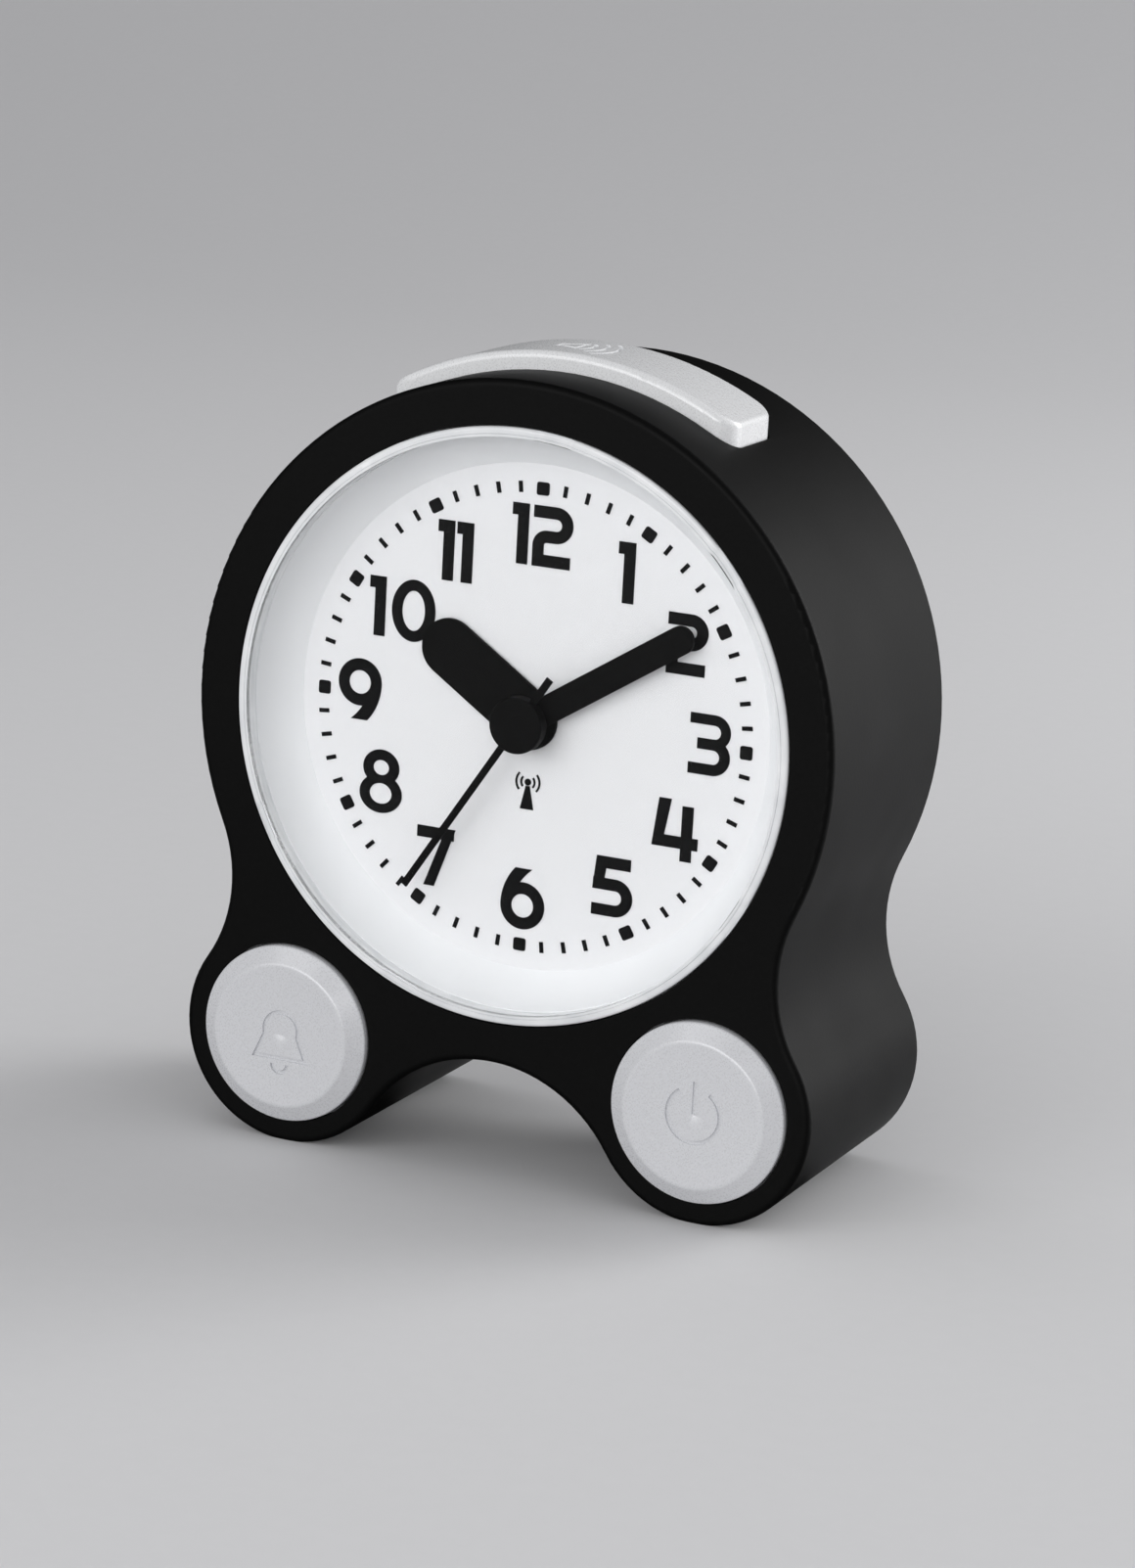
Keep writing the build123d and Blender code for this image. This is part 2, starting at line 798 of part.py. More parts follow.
def screw_piece(place, seat_y, into, shank_radius, length, head_radius, head_height):
    """A pan-head screw with a cross slot; its head seats at seat_y and its shank points along into."""
    slot = head_radius * cross_slot_share
    with BuildPart(mode=Mode.PRIVATE) as piece:
        with BuildSketch(facing_plane(seat_y)):
            with Locations(place):
                Circle(shank_radius)
        extrude(amount=-into * length)
        with BuildSketch(facing_plane(seat_y)):
            with Locations(place):
                Circle(head_radius)
        extrude(amount=into * head_height)
        outer_edge = piece.edges().filter_by(GeomType.CIRCLE).sort_by(Axis.Y)[0 if into > 0 else -1]
        fillet(outer_edge, head_height * screw_head_round_share)
        with BuildSketch(facing_plane(seat_y - into * head_height)):
            with Locations(place):
                Rectangle(slot * 2, cross_slot_width)
                Rectangle(cross_slot_width, slot * 2)
        extrude(amount=-into * head_height * cross_slot_depth_share, mode=Mode.SUBTRACT)
    return piece.part


def coil_spring(foot, direction, height, radius, wire, turns, top_radius=None):
    """A coil spring of round wire that stands on foot and fills height along direction."""
    rise = height - wire
    start = Vector(*foot) + Vector(*direction) * (wire / 2)
    cone = 0.0
    if top_radius is not None:
        cone = -degrees(atan_ratio(radius - top_radius, rise))
    with BuildPart(mode=Mode.PRIVATE) as spring:
        with BuildLine():
            coil = Helix(pitch=rise / turns, height=rise, radius=radius, center=start,
                         direction=direction, cone_angle=cone)
        with BuildSketch(Plane(origin=coil @ 0, z_dir=coil % 0)):
            Circle(wire / 2)
        sweep(path=coil)
    return spring.part


def atan_ratio(rise, run):
    """The angle, in radians, whose tangent is rise over run."""
    return pi / 2 if run == 0 else acos(run / sqrt(rise * rise + run * run))


def write(piece, name):
    """Label a finished piece and write it."""
    piece.label = name
    export_step(piece, f"parts/{name}.step")


# Front housing: face, side walls, bezel opening and the posts that take the case screws
upper_post_x, upper_post_z = polar(head_radius - upper_post_inset, upper_post_angle)
post_places = [(side * upper_post_x, upper_post_z) for side in (-1, 1)]
low_post_places = [(side * lower_post_x, lower_post_z) for side in (-1, 1)]
foot_places = [(side * foot_x, -foot_drop) for side in (-1, 1)]
bar_front_y = front_y + bar_front_set_back
bar_middle_y = bar_front_y + bar_depth / 2
surround_front_y = front_wall_back_y
hook_y = surround_front_y + surround_flange_thickness + fit_gap
case_pilot_depth = case_screw_length + fit_gap - cover_thickness + screw_recess_depth

with BuildPart() as front_housing:
    with BuildSketch(facing_plane(back_y)):
        body_outline(0)
    extrude(amount=body_depth)
    fillet(front_housing.faces().sort_by(Axis.Y)[0].edges(), front_edge_round)
    fillet(front_housing.faces().sort_by(Axis.Y)[-1].edges(), back_edge_round)
    with BuildSketch(facing_plane(back_y)):
        body_outline(side_wall)
    extrude(amount=body_depth - front_wall, mode=Mode.SUBTRACT)
    with BuildSketch(facing_plane(back_y)):
        body_outline(side_wall - cover_rebate)
    extrude(amount=cover_thickness, mode=Mode.SUBTRACT)
    with BuildSketch(facing_plane(cover_front_y)):
        with Locations(*post_places):
            Circle(case_post_radius)
    extrude(amount=cover_front_y - upper_post_front_y)
    with BuildSketch(facing_plane(cover_front_y)):
        with Locations(*low_post_places):
            Circle(case_post_radius)
    extrude(amount=cover_front_y - front_wall_back_y)
    with BuildSketch(facing_plane(hook_y + hook_thickness)):
        for hook_angle in hook_angles:
            with Locations(Rot(0, 0, hook_angle)):
                with Locations((head_radius - side_wall - hook_reach / 2 + fit_gap, 0)):
                    Rectangle(hook_reach + 2 * fit_gap, hook_width)
    extrude(amount=hook_thickness)
    with BuildSketch(facing_plane(front_wall_back_y)):
        Circle(bezel_radius)
        with Locations(*foot_places):
            Circle(button_hole_radius)
    extrude(amount=front_wall + cut_over, mode=Mode.SUBTRACT)
    with BuildSketch(level_plane(bar_skirt_radius / 2)):
        with Locations((0, bar_middle_y)):
            RectangleRounded(bar_length + 2 * slide_gap, bar_depth + 2 * slide_gap,
                             bar_corner_round + slide_gap)
    extrude(amount=head_radius, mode=Mode.SUBTRACT)
    with BuildSketch(facing_plane(cover_front_y)):
        with Locations(*post_places, *low_post_places):
            Circle(case_screw_radius + fit_gap / 2)
    extrude(amount=case_pilot_depth, mode=Mode.SUBTRACT)
    split(bisect_by=Plane.XY, keep=Keep.TOP)
write(front_housing.part, "front_housing")

# Lens: a clear disc with a skirt that snaps into the bezel opening
lens_front_y = front_y - lens_proud
lens_back_y = lens_front_y + lens_thickness
lens_skirt_end_y = front_y + lens_skirt_end_depth
with BuildPart() as lens:
    with BuildSketch(facing_plane(lens_back_y)):
        Circle(lens_radius)
    extrude(amount=lens_thickness)
    fillet(lens.faces().sort_by(Axis.Y)[0].edges(), lens_rim_round)
    with BuildSketch(facing_plane(lens_skirt_end_y)):
        Circle(lens_radius)
        Circle(lens_radius - lens_skirt_thickness, mode=Mode.SUBTRACT)
    extrude(amount=lens_skirt_end_y - lens_back_y)
    with BuildSketch(facing_plane(lens_skirt_end_y)):
        for notch_angle in lens_notch_angles:
            with Locations(Rot(0, 0, notch_angle)):
                with Locations((lens_radius, 0)):
                    Rectangle(2 * lens_skirt_thickness + cut_over, lens_notch_width)
    extrude(amount=lens_notch_height, mode=Mode.SUBTRACT)
write(lens.part, "lens")

# White surround: flange behind the face, lip under the lens and a dished cone down to the dial
surround_flange_back_y = surround_front_y + surround_flange_thickness
cone_top = (surround_lip_radius, lens_skirt_end_y)
cone_foot = (dial_opening_radius, dial_y)
cone_middle = ((cone_top[0] + cone_foot[0]) / 2 + cone_sag, (cone_top[1] + cone_foot[1]) / 2 + cone_sag)
seat_radius = dial_radius + fit_gap
ring_outer = seat_radius + surround_wall
surround_shoulder_y = dial_y - surround_wall
with BuildPart() as dial_surround:
    with BuildSketch(turning_plane()):
        with BuildLine():
            ThreePointArc(cone_foot, cone_middle, cone_top)
            Polyline(cone_top, (surround_step_radius, lens_skirt_end_y),
                     (surround_step_radius, surround_front_y),
                     (surround_flange_radius, surround_front_y),
                     (surround_flange_radius, surround_flange_back_y),
                     (surround_lip_radius + surround_wall, surround_flange_back_y),
                     (ring_outer, surround_shoulder_y), (ring_outer, dial_back_y),
                     (seat_radius, dial_back_y), (seat_radius, dial_y), cone_foot)
        make_face()
    revolve(axis=clock_axis)
    with BuildSketch(facing_plane(dial_back_y)):
        for ear_angle in carrier_ear_angles:
            with Locations(polar(carrier_ear_circle, ear_angle)):
                Circle(surround_boss_radius)
        Circle(seat_radius, mode=Mode.SUBTRACT)
    extrude(amount=dial_back_y - surround_flange_back_y + surround_flange_thickness / 2)
    with BuildSketch(turning_plane()):
        with BuildLine():
            ThreePointArc(cone_foot, cone_middle, cone_top)
            Polyline(cone_top, (0, lens_skirt_end_y), (0, dial_y), cone_foot)
        make_face()
    revolve(axis=clock_axis, mode=Mode.SUBTRACT)
    with BuildSketch(facing_plane(dial_back_y)):
        for ear_angle in carrier_ear_angles:
            with Locations(polar(carrier_ear_circle, ear_angle)):
                Circle(carrier_screw_radius + fit_gap / 2)
    extrude(amount=carrier_screw_length - carrier_thickness + fit_gap, mode=Mode.SUBTRACT)
write(dial_surround.part, "dial_surround")

# Dial plate
with BuildPart() as dial:
    with BuildSketch(facing_plane(dial_back_y)):
        Circle(dial_radius)
        Circle(dial_hole_radius, mode=Mode.SUBTRACT)
    extrude(amount=dial_thickness)
write(dial.part, "dial")

# Printed marks: numerals, hour blocks, minute strokes and the radio mast sign
with BuildPart() as dial_print:
    with BuildSketch(facing_plane(dial_y)):
        for numeral in numeral_place_shares:
            draw_numeral(numeral)
        for minute in range(minutes_on_dial):
            degree = 90.0 - minute * 360.0 / minutes_on_dial
            if minute * hours_on_dial % minutes_on_dial == 0:
                with Locations(Rot(0, 0, degree) * Pos(hour_mark_circle, 0)):
                    RectangleRounded(hour_mark_length, hour_mark_width, hour_mark_round)
            else:
                with Locations(Rot(0, 0, degree) * Pos(minute_mark_circle, 0)):
                    Rectangle(minute_mark_length, minute_mark_width)
        with BuildLine():
            Polyline((-mast_base_width / 2, mast_foot_z), (mast_base_width / 2, mast_foot_z),
                     (mast_top_width / 2, mast_foot_z + mast_height),
                     (-mast_top_width / 2, mast_foot_z + mast_height), close=True)
        make_face()
        with Locations((0, mast_dot_z)):
            Circle(mast_dot_radius)
        for wave_radius in mast_wave_radii:
            for facing in (0.0, 180.0):
                ring_piece((0, mast_dot_z), wave_radius + mast_wave_width / 2,
                           wave_radius - mast_wave_width / 2, facing - mast_wave_span / 2,
                           facing + mast_wave_span / 2)
    extrude(amount=print_thickness)
write(dial_print.part, "dial_print")


def hand_outline(width, reach, angle, tail=0.0):
    """Draw a hand with round ends, from its tail to its tip."""
    length = reach + tail
    with Locations(Rot(0, 0, 90.0 - angle) * Pos((reach - tail) / 2, 0)):
        SlotOverall(length, width)


# Hour hand: a broad bar with round ends, pressed on the hour pipe
hour_hand_back_y = dial_y - hour_hand_lift
hour_pipe_front_y = hour_hand_back_y - hand_thickness - pipe_proud
with BuildPart() as hour_hand:
    with BuildSketch(facing_plane(hour_hand_back_y)):
        hand_outline(hour_hand_width, hour_hand_reach, hour_hand_angle, hour_hand_width / 2)
        Circle(hour_pipe_outer_radius, mode=Mode.SUBTRACT)
    extrude(amount=hand_thickness)
write(hour_hand.part, "hour_hand")

# Minute hand with the collet that grips the cannon pipe
minute_hand_back_y = dial_y - minute_hand_lift
cannon_front_y = minute_hand_back_y - hand_thickness - pipe_proud
with BuildPart() as minute_hand:
    with BuildSketch(facing_plane(minute_hand_back_y)):
        hand_outline(minute_hand_width, minute_hand_reach, minute_hand_angle, minute_hand_width / 2)
        Circle(cannon_outer_radius, mode=Mode.SUBTRACT)
    extrude(amount=hand_thickness)
    with BuildSketch(facing_plane(minute_hand_back_y + minute_collet_length)):
        Circle(minute_collet_radius)
        Circle(cannon_outer_radius, mode=Mode.SUBTRACT)
    extrude(amount=minute_collet_length)
write(minute_hand.part, "minute_hand")

# Second hand: thin blade with a round cap over the middle
second_hand_back_y = dial_y - second_hand_lift
cap_back_y = dial_y - cap_lift
arbor_front_y = cap_back_y - cap_bore_depth
with BuildPart() as second_hand:
    with BuildSketch(facing_plane(cap_back_y)):
        Circle(cap_radius)
    extrude(amount=cap_front_lift - cap_lift)
    fillet(second_hand.faces().sort_by(Axis.Y)[0].edges(), cap_edge_round)
    with BuildSketch(facing_plane(second_hand_back_y)):
        with Locations(Rot(0, 0, 90.0 - second_hand_angle) * Pos(second_hand_reach / 2, 0)):
            Rectangle(second_hand_reach, second_hand_width)
        with Locations(Rot(0, 0, -90.0 - second_hand_angle) * Pos(second_tail_reach / 2, 0)):
            Rectangle(second_tail_reach, second_tail_width)
    extrude(amount=second_hand_thickness)
    with BuildSketch(facing_plane(cap_back_y)):
        Circle(arbor_radius)
    extrude(amount=cap_bore_depth, mode=Mode.SUBTRACT)
write(second_hand.part, "second_hand")

# Places of the two gear trains: the minute train lies to the left, the seconds train to the right
hand_wheel_reach = (leaf_teeth + hand_wheel_teeth) / 2 * train_module
third_wheel_reach = (leaf_teeth + third_wheel_teeth) / 2 * train_module
transfer_reach = (leaf_teeth + transfer_teeth) / 2 * transfer_module
train_angles = (train_angle, 540.0 - train_angle)
third_places = [polar(hand_wheel_reach, angle) for angle in train_angles]
rotor_places = [polar(hand_wheel_reach + third_wheel_reach, angle) for angle in train_angles]
transfer_place = (0.0, transfer_reach)
bearing_radius = arbor_radius + arbor_gap
pillar_corners = ((pillar_upper_x, pillar_upper_z), (pillar_lower_x, pillar_lower_z))
pillar_places = [(side * x, z) for side in (-1, 1) for x, z in pillar_corners]
case_inner_width = movement_width - 2 * movement_wall
case_inner_height = movement_height - 2 * movement_wall


def rounded_case(width, height):
    """Draw the movement case's rounded outline."""
    with Locations((0, movement_middle_z)):
        RectangleRounded(width, height, movement_wall * 2)


# Movement carrier: round plate behind the dial, case walls, axle boss, spring shelf and aerial clips
stator_seat_y = carrier_back_y + stator_level
rod_middle_y = carrier_back_y + rod_back_gap + rod_radius
clip_back_y = rod_middle_y + rod_radius / 2
with BuildPart() as movement_carrier:
    with BuildSketch(facing_plane(carrier_back_y)):
        Circle(carrier_radius)
        for ear_angle in carrier_ear_angles:
            with Locations(polar(carrier_ear_circle, ear_angle)):
                Circle(carrier_ear_radius)
        for side in (-1, 1):
            bar_by_edges(side * rod_clip_x - rod_clip_width / 2, side * rod_clip_x + rod_clip_width / 2,
                         rod_middle_z - rod_clip_reach, movement_middle_z)
    extrude(amount=carrier_thickness)
    with BuildSketch(facing_plane(movement_rear_y)):
        rounded_case(movement_width, movement_height)
        with Locations((0, movement_middle_z)):
            RectangleRounded(case_inner_width, case_inner_height, movement_wall, mode=Mode.SUBTRACT)
    extrude(amount=movement_inner_depth)
    with BuildSketch(facing_plane(dial_back_y)):
        Circle(axle_boss_radius)
    extrude(amount=dial_thickness - axle_boss_set_back)
    with BuildSketch(facing_plane(mid_plate_y)):
        with Locations(*pillar_places):
            Circle(pillar_radius)
    extrude(amount=mid_plate_set_back)
    with BuildSketch(facing_plane(stator_seat_y)):
        for side, place in zip((-1, 1), rotor_places):
            for z in (place[1] + stator_top - stator_leg / 2, place[1] - stator_bottom + stator_core / 2):
                with Locations((place[0] + side * (stator_left - stator_leg / 2), z)):
                    Rectangle(stator_leg, stator_core)
    extrude(amount=stator_level)
    with BuildSketch(facing_plane(carrier_back_y + transfer_stud_length)):
        with Locations(transfer_place):
            Circle(transfer_stud_radius)
    extrude(amount=transfer_stud_length)
    with BuildSketch(level_plane(shelf_top_z)):
        with Locations((0, carrier_back_y + shelf_reach / 2)):
            Rectangle(shelf_width, shelf_reach)
    extrude(amount=-shelf_thickness)
    with BuildSketch(facing_plane(clip_back_y)):
        for side in (-1, 1):
            with Locations((side * rod_clip_x, rod_middle_z)):
                Rectangle(rod_clip_width, 2 * rod_clip_reach)
    extrude(amount=clip_back_y - carrier_back_y)
    with BuildSketch(Plane(origin=(0, rod_middle_y, head_z + rod_middle_z), x_dir=(0, 1, 0),
                           z_dir=(1, 0, 0))):
        Circle(rod_radius + fit_gap)
    extrude(amount=rod_length, both=True, mode=Mode.SUBTRACT)
    with BuildSketch(facing_plane(carrier_back_y)):
        Circle(hour_pipe_outer_radius + arbor_gap)
    extrude(amount=carrier_thickness + dial_thickness, mode=Mode.SUBTRACT)
    with BuildSketch(facing_plane(carrier_back_y)):
        with Locations(third_places[0], *rotor_places):
            Circle(bearing_radius)
    extrude(amount=bearing_depth, mode=Mode.SUBTRACT)
    with BuildSketch(facing_plane(carrier_back_y)):
        for ear_angle in carrier_ear_angles:
            with Locations(polar(carrier_ear_circle, ear_angle)):
                Circle(carrier_screw_radius + fit_gap)
    extrude(amount=carrier_thickness, mode=Mode.SUBTRACT)
write(movement_carrier.part, "movement_carrier")

# Screws that clamp the carrier, with the dial in front of it, to the surround
with BuildPart() as carrier_screws:
    for ear_angle in carrier_ear_angles:
        add(screw_piece(polar(carrier_ear_circle, ear_angle), carrier_back_y, -1, carrier_screw_radius,
                        carrier_screw_length, carrier_screw_head_radius, carrier_screw_head_height))
write(carrier_screws.part, "carrier_screws")

# Middle plate: carries the minute train's rear bearings and the seconds train's front ones
with BuildPart() as movement_mid_plate:
    with BuildSketch(facing_plane(mid_plate_y + mid_plate_thickness)):
        with Locations((0, movement_middle_z)):
            RectangleRounded(case_inner_width - 2 * fit_gap, case_inner_height - 2 * fit_gap,
                             movement_wall - fit_gap)
        with Locations((0, 0), *third_places, *rotor_places):
            Circle(bearing_radius, mode=Mode.SUBTRACT)
    extrude(amount=mid_plate_thickness)
write(movement_mid_plate.part, "movement_mid_plate")

# Movement cover, with pillars that hold the middle plate down
with BuildPart() as movement_cover:
    with BuildSketch(facing_plane(movement_rear_y + movement_cover_thickness)):
        rounded_case(movement_width, movement_height)
    extrude(amount=movement_cover_thickness)
    with BuildSketch(facing_plane(movement_rear_y)):
        with Locations(*pillar_places):
            Circle(pillar_radius)
    extrude(amount=movement_rear_y - mid_plate_y - mid_plate_thickness)
    with BuildSketch(facing_plane(movement_rear_y + bearing_depth)):
        with Locations((0, 0), third_places[1], rotor_places[1]):
            Circle(bearing_radius)
    extrude(amount=bearing_depth, mode=Mode.SUBTRACT)
write(movement_cover.part, "movement_cover")

# Hour wheel on its pipe
hour_wheel_y = carrier_back_y + hour_wheel_level + leaf_thickness
with BuildPart() as hour_wheel:
    with BuildSketch(facing_plane(hour_wheel_y)):
        gear_face(hour_teeth, hour_module, 90.0, (0, 0))
    extrude(amount=wheel_thickness)
    with BuildSketch(facing_plane(hour_wheel_y)):
        Circle(hour_pipe_outer_radius)
    extrude(amount=hour_wheel_y - hour_pipe_front_y)
    with BuildSketch(facing_plane(hour_wheel_y)):
        Circle(cannon_outer_radius + arbor_gap)
    extrude(amount=hour_wheel_y - hour_pipe_front_y, mode=Mode.SUBTRACT)
write(hour_wheel.part, "hour_wheel")

# Cannon wheel: the minute hand's pipe, its leaf gear and the wheel that the minute motor drives
cannon_leaf_y = carrier_back_y + cannon_leaf_level + leaf_thickness
hand_wheel_y = carrier_back_y + hand_wheel_level + wheel_thickness
with BuildPart() as cannon_wheel:
    with BuildSketch(facing_plane(hand_wheel_y)):
        gear_face(hand_wheel_teeth, train_module, train_angles[0], (0, 0))
    extrude(amount=wheel_thickness)
    with BuildSketch(facing_plane(cannon_leaf_y)):
        gear_face(leaf_teeth, transfer_module, 90.0, (0, 0), leaf=True)
    extrude(amount=leaf_thickness)
    with BuildSketch(facing_plane(hand_wheel_y - wheel_thickness)):
        Circle((leaf_teeth / 2 - dedendum_share) * transfer_module)
    extrude(amount=hand_wheel_level - cannon_leaf_level - leaf_thickness)
    with BuildSketch(facing_plane(cannon_leaf_y - leaf_thickness)):
        Circle(cannon_outer_radius)
    extrude(amount=cannon_leaf_y - leaf_thickness - cannon_front_y)
    with BuildSketch(facing_plane(hand_wheel_y)):
        Circle(bearing_radius)
    extrude(amount=hand_wheel_y - cannon_front_y, mode=Mode.SUBTRACT)
write(cannon_wheel.part, "cannon_wheel")

# Transfer wheel and leaf between the minute pipe and the hour pipe, turning on the carrier's stud
half_transfer_pitch = 180.0 / transfer_teeth
half_leaf_pitch = 180.0 / leaf_teeth
transfer_leaf_y = carrier_back_y + hour_wheel_level + leaf_thickness
with BuildPart() as transfer_wheel:
    with BuildSketch(facing_plane(cannon_leaf_y)):
        gear_face(transfer_teeth, transfer_module, -90.0 + half_transfer_pitch, transfer_place)
    extrude(amount=wheel_thickness)
    with BuildSketch(facing_plane(cannon_leaf_y - wheel_thickness)):
        with Locations(transfer_place):
            Circle((leaf_teeth / 2 - dedendum_share) * hour_module)
    extrude(amount=cannon_leaf_y - wheel_thickness - transfer_leaf_y)
    with BuildSketch(facing_plane(transfer_leaf_y)):
        gear_face(leaf_teeth, hour_module, -90.0 + half_leaf_pitch, transfer_place, leaf=True)
    extrude(amount=leaf_thickness)
    with BuildSketch(facing_plane(cannon_leaf_y)):
        with Locations(transfer_place):
            Circle(transfer_stud_radius + arbor_gap)
    extrude(amount=cannon_leaf_y - transfer_leaf_y + leaf_thickness, mode=Mode.SUBTRACT)
write(transfer_wheel.part, "transfer_wheel")

# Seconds wheel on the arbor that carries the second hand
seconds_wheel_y = hand_wheel_y + train_step
with BuildPart() as seconds_wheel:
    with BuildSketch(facing_plane(seconds_wheel_y)):
        gear_face(hand_wheel_teeth, train_module, train_angles[1], (0, 0))
    extrude(amount=wheel_thickness)
    with BuildSketch(facing_plane(movement_rear_y + bearing_depth - rest_gap)):
        Circle(arbor_radius)
    extrude(amount=movement_rear_y + bearing_depth - rest_gap - arbor_front_y)
write(seconds_wheel.part, "seconds_wheel")

# Third wheels: each turns its hand wheel through a leaf gear and is turned by a rotor
front_bearing_y = carrier_back_y - bearing_depth + rest_gap / 2
back_bearing_y = movement_rear_y + bearing_depth - rest_gap / 2
third_bearings_y = ((front_bearing_y, mid_plate_y + mid_plate_thickness), (mid_plate_y, back_bearing_y))
rotor_bearings_y = ((front_bearing_y, mid_plate_y + mid_plate_thickness), (front_bearing_y, back_bearing_y))
train_names = ("minute", "seconds")
for train, train_name in enumerate(train_names):
    step = train * train_step
    angle = train_angles[train]
    third_place = third_places[train]
    rotor_place = rotor_places[train]
    third_leaf_y = carrier_back_y + hand_wheel_level - leaf_lead + leaf_thickness + step
    rotor_leaf_y = carrier_back_y + third_wheel_level - leaf_lead + leaf_thickness + step
    arbor_from_y, arbor_to_y = third_bearings_y[train]
    with BuildPart() as third_wheel:
        with BuildSketch(facing_plane(carrier_back_y + third_wheel_level + wheel_thickness + step)):
            gear_face(third_wheel_teeth, train_module, angle, third_place)
        extrude(amount=wheel_thickness)
        with BuildSketch(facing_plane(third_leaf_y)):
            gear_face(leaf_teeth, train_module, angle + 180.0 + half_leaf_pitch, third_place, leaf=True)
        extrude(amount=leaf_thickness)
        with BuildSketch(facing_plane(arbor_to_y)):
            with Locations(third_place):
                Circle(arbor_radius)
        extrude(amount=arbor_to_y - arbor_from_y)
    write(third_wheel.part, f"{train_name}_third_wheel")

    rotor_from_y, rotor_to_y = rotor_bearings_y[train]
    with BuildPart() as rotor:
        with BuildSketch(facing_plane(carrier_back_y + rotor_level + rotor_length)):
            with Locations(rotor_place):
                Circle(rotor_radius)
        extrude(amount=rotor_length)
        with BuildSketch(facing_plane(rotor_leaf_y)):
            gear_face(leaf_teeth, train_module, angle + 180.0 + half_leaf_pitch, rotor_place, leaf=True)
        extrude(amount=leaf_thickness)
        with BuildSketch(facing_plane(rotor_to_y)):
            with Locations(rotor_place):
                Circle(arbor_radius)
        extrude(amount=rotor_to_y - rotor_from_y)
    write(rotor.part, f"{train_name}_rotor")

# Stators round the rotors, each with a core bar through its coil
with BuildPart() as motor_stators:
    with BuildSketch(facing_plane(stator_seat_y + stator_thickness)):
        for side, place in zip((-1, 1), rotor_places):
            outer_x = place[0] + side * stator_left
            inner_x = place[0] - side * stator_right
            left, right = min(outer_x, inner_x), max(outer_x, inner_x)
            bar_by_edges(left, right, place[1] - stator_bottom, place[1] + stator_top)
        for side, place in zip((-1, 1), rotor_places):
            outer_x = place[0] + side * (stator_left - stator_leg)
            inner_x = place[0] - side * (stator_right - stator_leg)
            left, right = min(outer_x, inner_x), max(outer_x, inner_x)
            with Locations(((left + right) / 2,
                            place[1] - (stator_window_top + stator_bottom - stator_core) / 2)):
                Rectangle(right - left, stator_bottom - stator_core - stator_window_top, mode=Mode.SUBTRACT)
            with Locations(place):
                Circle(rotor_radius + stator_hole_gap, mode=Mode.SUBTRACT)
    extrude(amount=stator_thickness)
write(motor_stators.part, "motor_stators")

# Coils wound on the stators' core bars
with BuildPart() as motor_coils:
    for side, place in zip((-1, 1), rotor_places):
        middle_x = place[0] + side * (stator_left - stator_right) / 2
        core_z = place[1] - stator_bottom + stator_core / 2
        core_y = stator_seat_y + stator_thickness / 2
        with BuildSketch(Plane(origin=(middle_x - coil_length / 2, core_y, head_z + core_z),
                               x_dir=(0, 1, 0), z_dir=(1, 0, 0))):
            RectangleRounded(coil_depth, coil_height, coil_round)
            Rectangle(stator_thickness, stator_core, mode=Mode.SUBTRACT)
        extrude(amount=coil_length)
write(motor_coils.part, "motor_coils")


def bar_slab(width, depth, corner, outer, inner):
    """A slab of the talk bar: a rounded rectangle in plan between two cylinders about the clock's axis."""
    with BuildPart(mode=Mode.PRIVATE) as slab:
        with BuildSketch(facing_plane(bar_middle_y + depth)):
            Circle(outer)
            Circle(inner, mode=Mode.SUBTRACT)
        extrude(amount=2 * depth)
        with BuildSketch(Plane(origin=(0, bar_middle_y, head_z + inner / 2))):
            RectangleRounded(width, depth, corner)
        extrude(amount=outer, mode=Mode.INTERSECT)
    return slab.part


def upright_plane(height):
    """A level sketch plane over the middle of the talk bar."""
    return Plane(origin=(0, bar_middle_y, head_z + height))


# Talk bar: curved cap that slides down through the top of the case, kept in by a flange under the wall
talk_switch_top_z = shelf_top_z + board_thickness + switch_height
bar_seat_places = ((-bar_spring_x, 0), (bar_spring_x, 0))
with BuildPart() as sound_engraving:
    with BuildSketch(upright_plane(bar_skirt_radius)):
        sound_sign()
    extrude(amount=bar_top_radius)
    with BuildSketch(facing_plane(bar_middle_y + bar_depth)):
        Circle(bar_top_radius + cut_over)
        Circle(bar_top_radius - bar_sign_depth, mode=Mode.SUBTRACT)
    extrude(amount=2 * bar_depth, mode=Mode.INTERSECT)
with BuildPart() as talk_bar:
    add(bar_slab(bar_length, bar_depth, bar_corner_round, bar_top_radius, bar_skirt_radius))
    fillet(talk_bar.faces().sort_by(Axis.Z)[-1].edges(), bar_edge_round)
    add(bar_slab(bar_length + 2 * bar_flange_width, bar_depth + 2 * bar_flange_width,
                 bar_corner_round + bar_flange_width, bar_skirt_radius + bar_flange_thickness,
                 bar_skirt_radius))
    add(bar_slab(bar_length - 2 * bar_wall, bar_depth - 2 * bar_wall, bar_corner_round - bar_wall,
                 bar_roof_radius, bar_skirt_radius - cut_over), mode=Mode.SUBTRACT)
    with BuildSketch(upright_plane(talk_switch_top_z - stem_entry)):
        Circle(stem_tip_radius)
    extrude(amount=stem_shoulder + stem_entry)
    with BuildSketch(upright_plane(talk_switch_top_z + stem_shoulder)):
        Circle(stem_radius)
    extrude(until=Until.NEXT)
    with BuildSketch(upright_plane(bar_seat_z - bar_pin_length)):
        with Locations(*bar_seat_places):
            Circle(bar_pin_radius)
    extrude(amount=bar_pin_length)
    with BuildSketch(upright_plane(bar_seat_z)):
        with Locations(*bar_seat_places):
            Circle(bar_seat_radius)
    extrude(until=Until.NEXT)
    add(sound_engraving.part, mode=Mode.SUBTRACT)
write(talk_bar.part, "talk_bar")

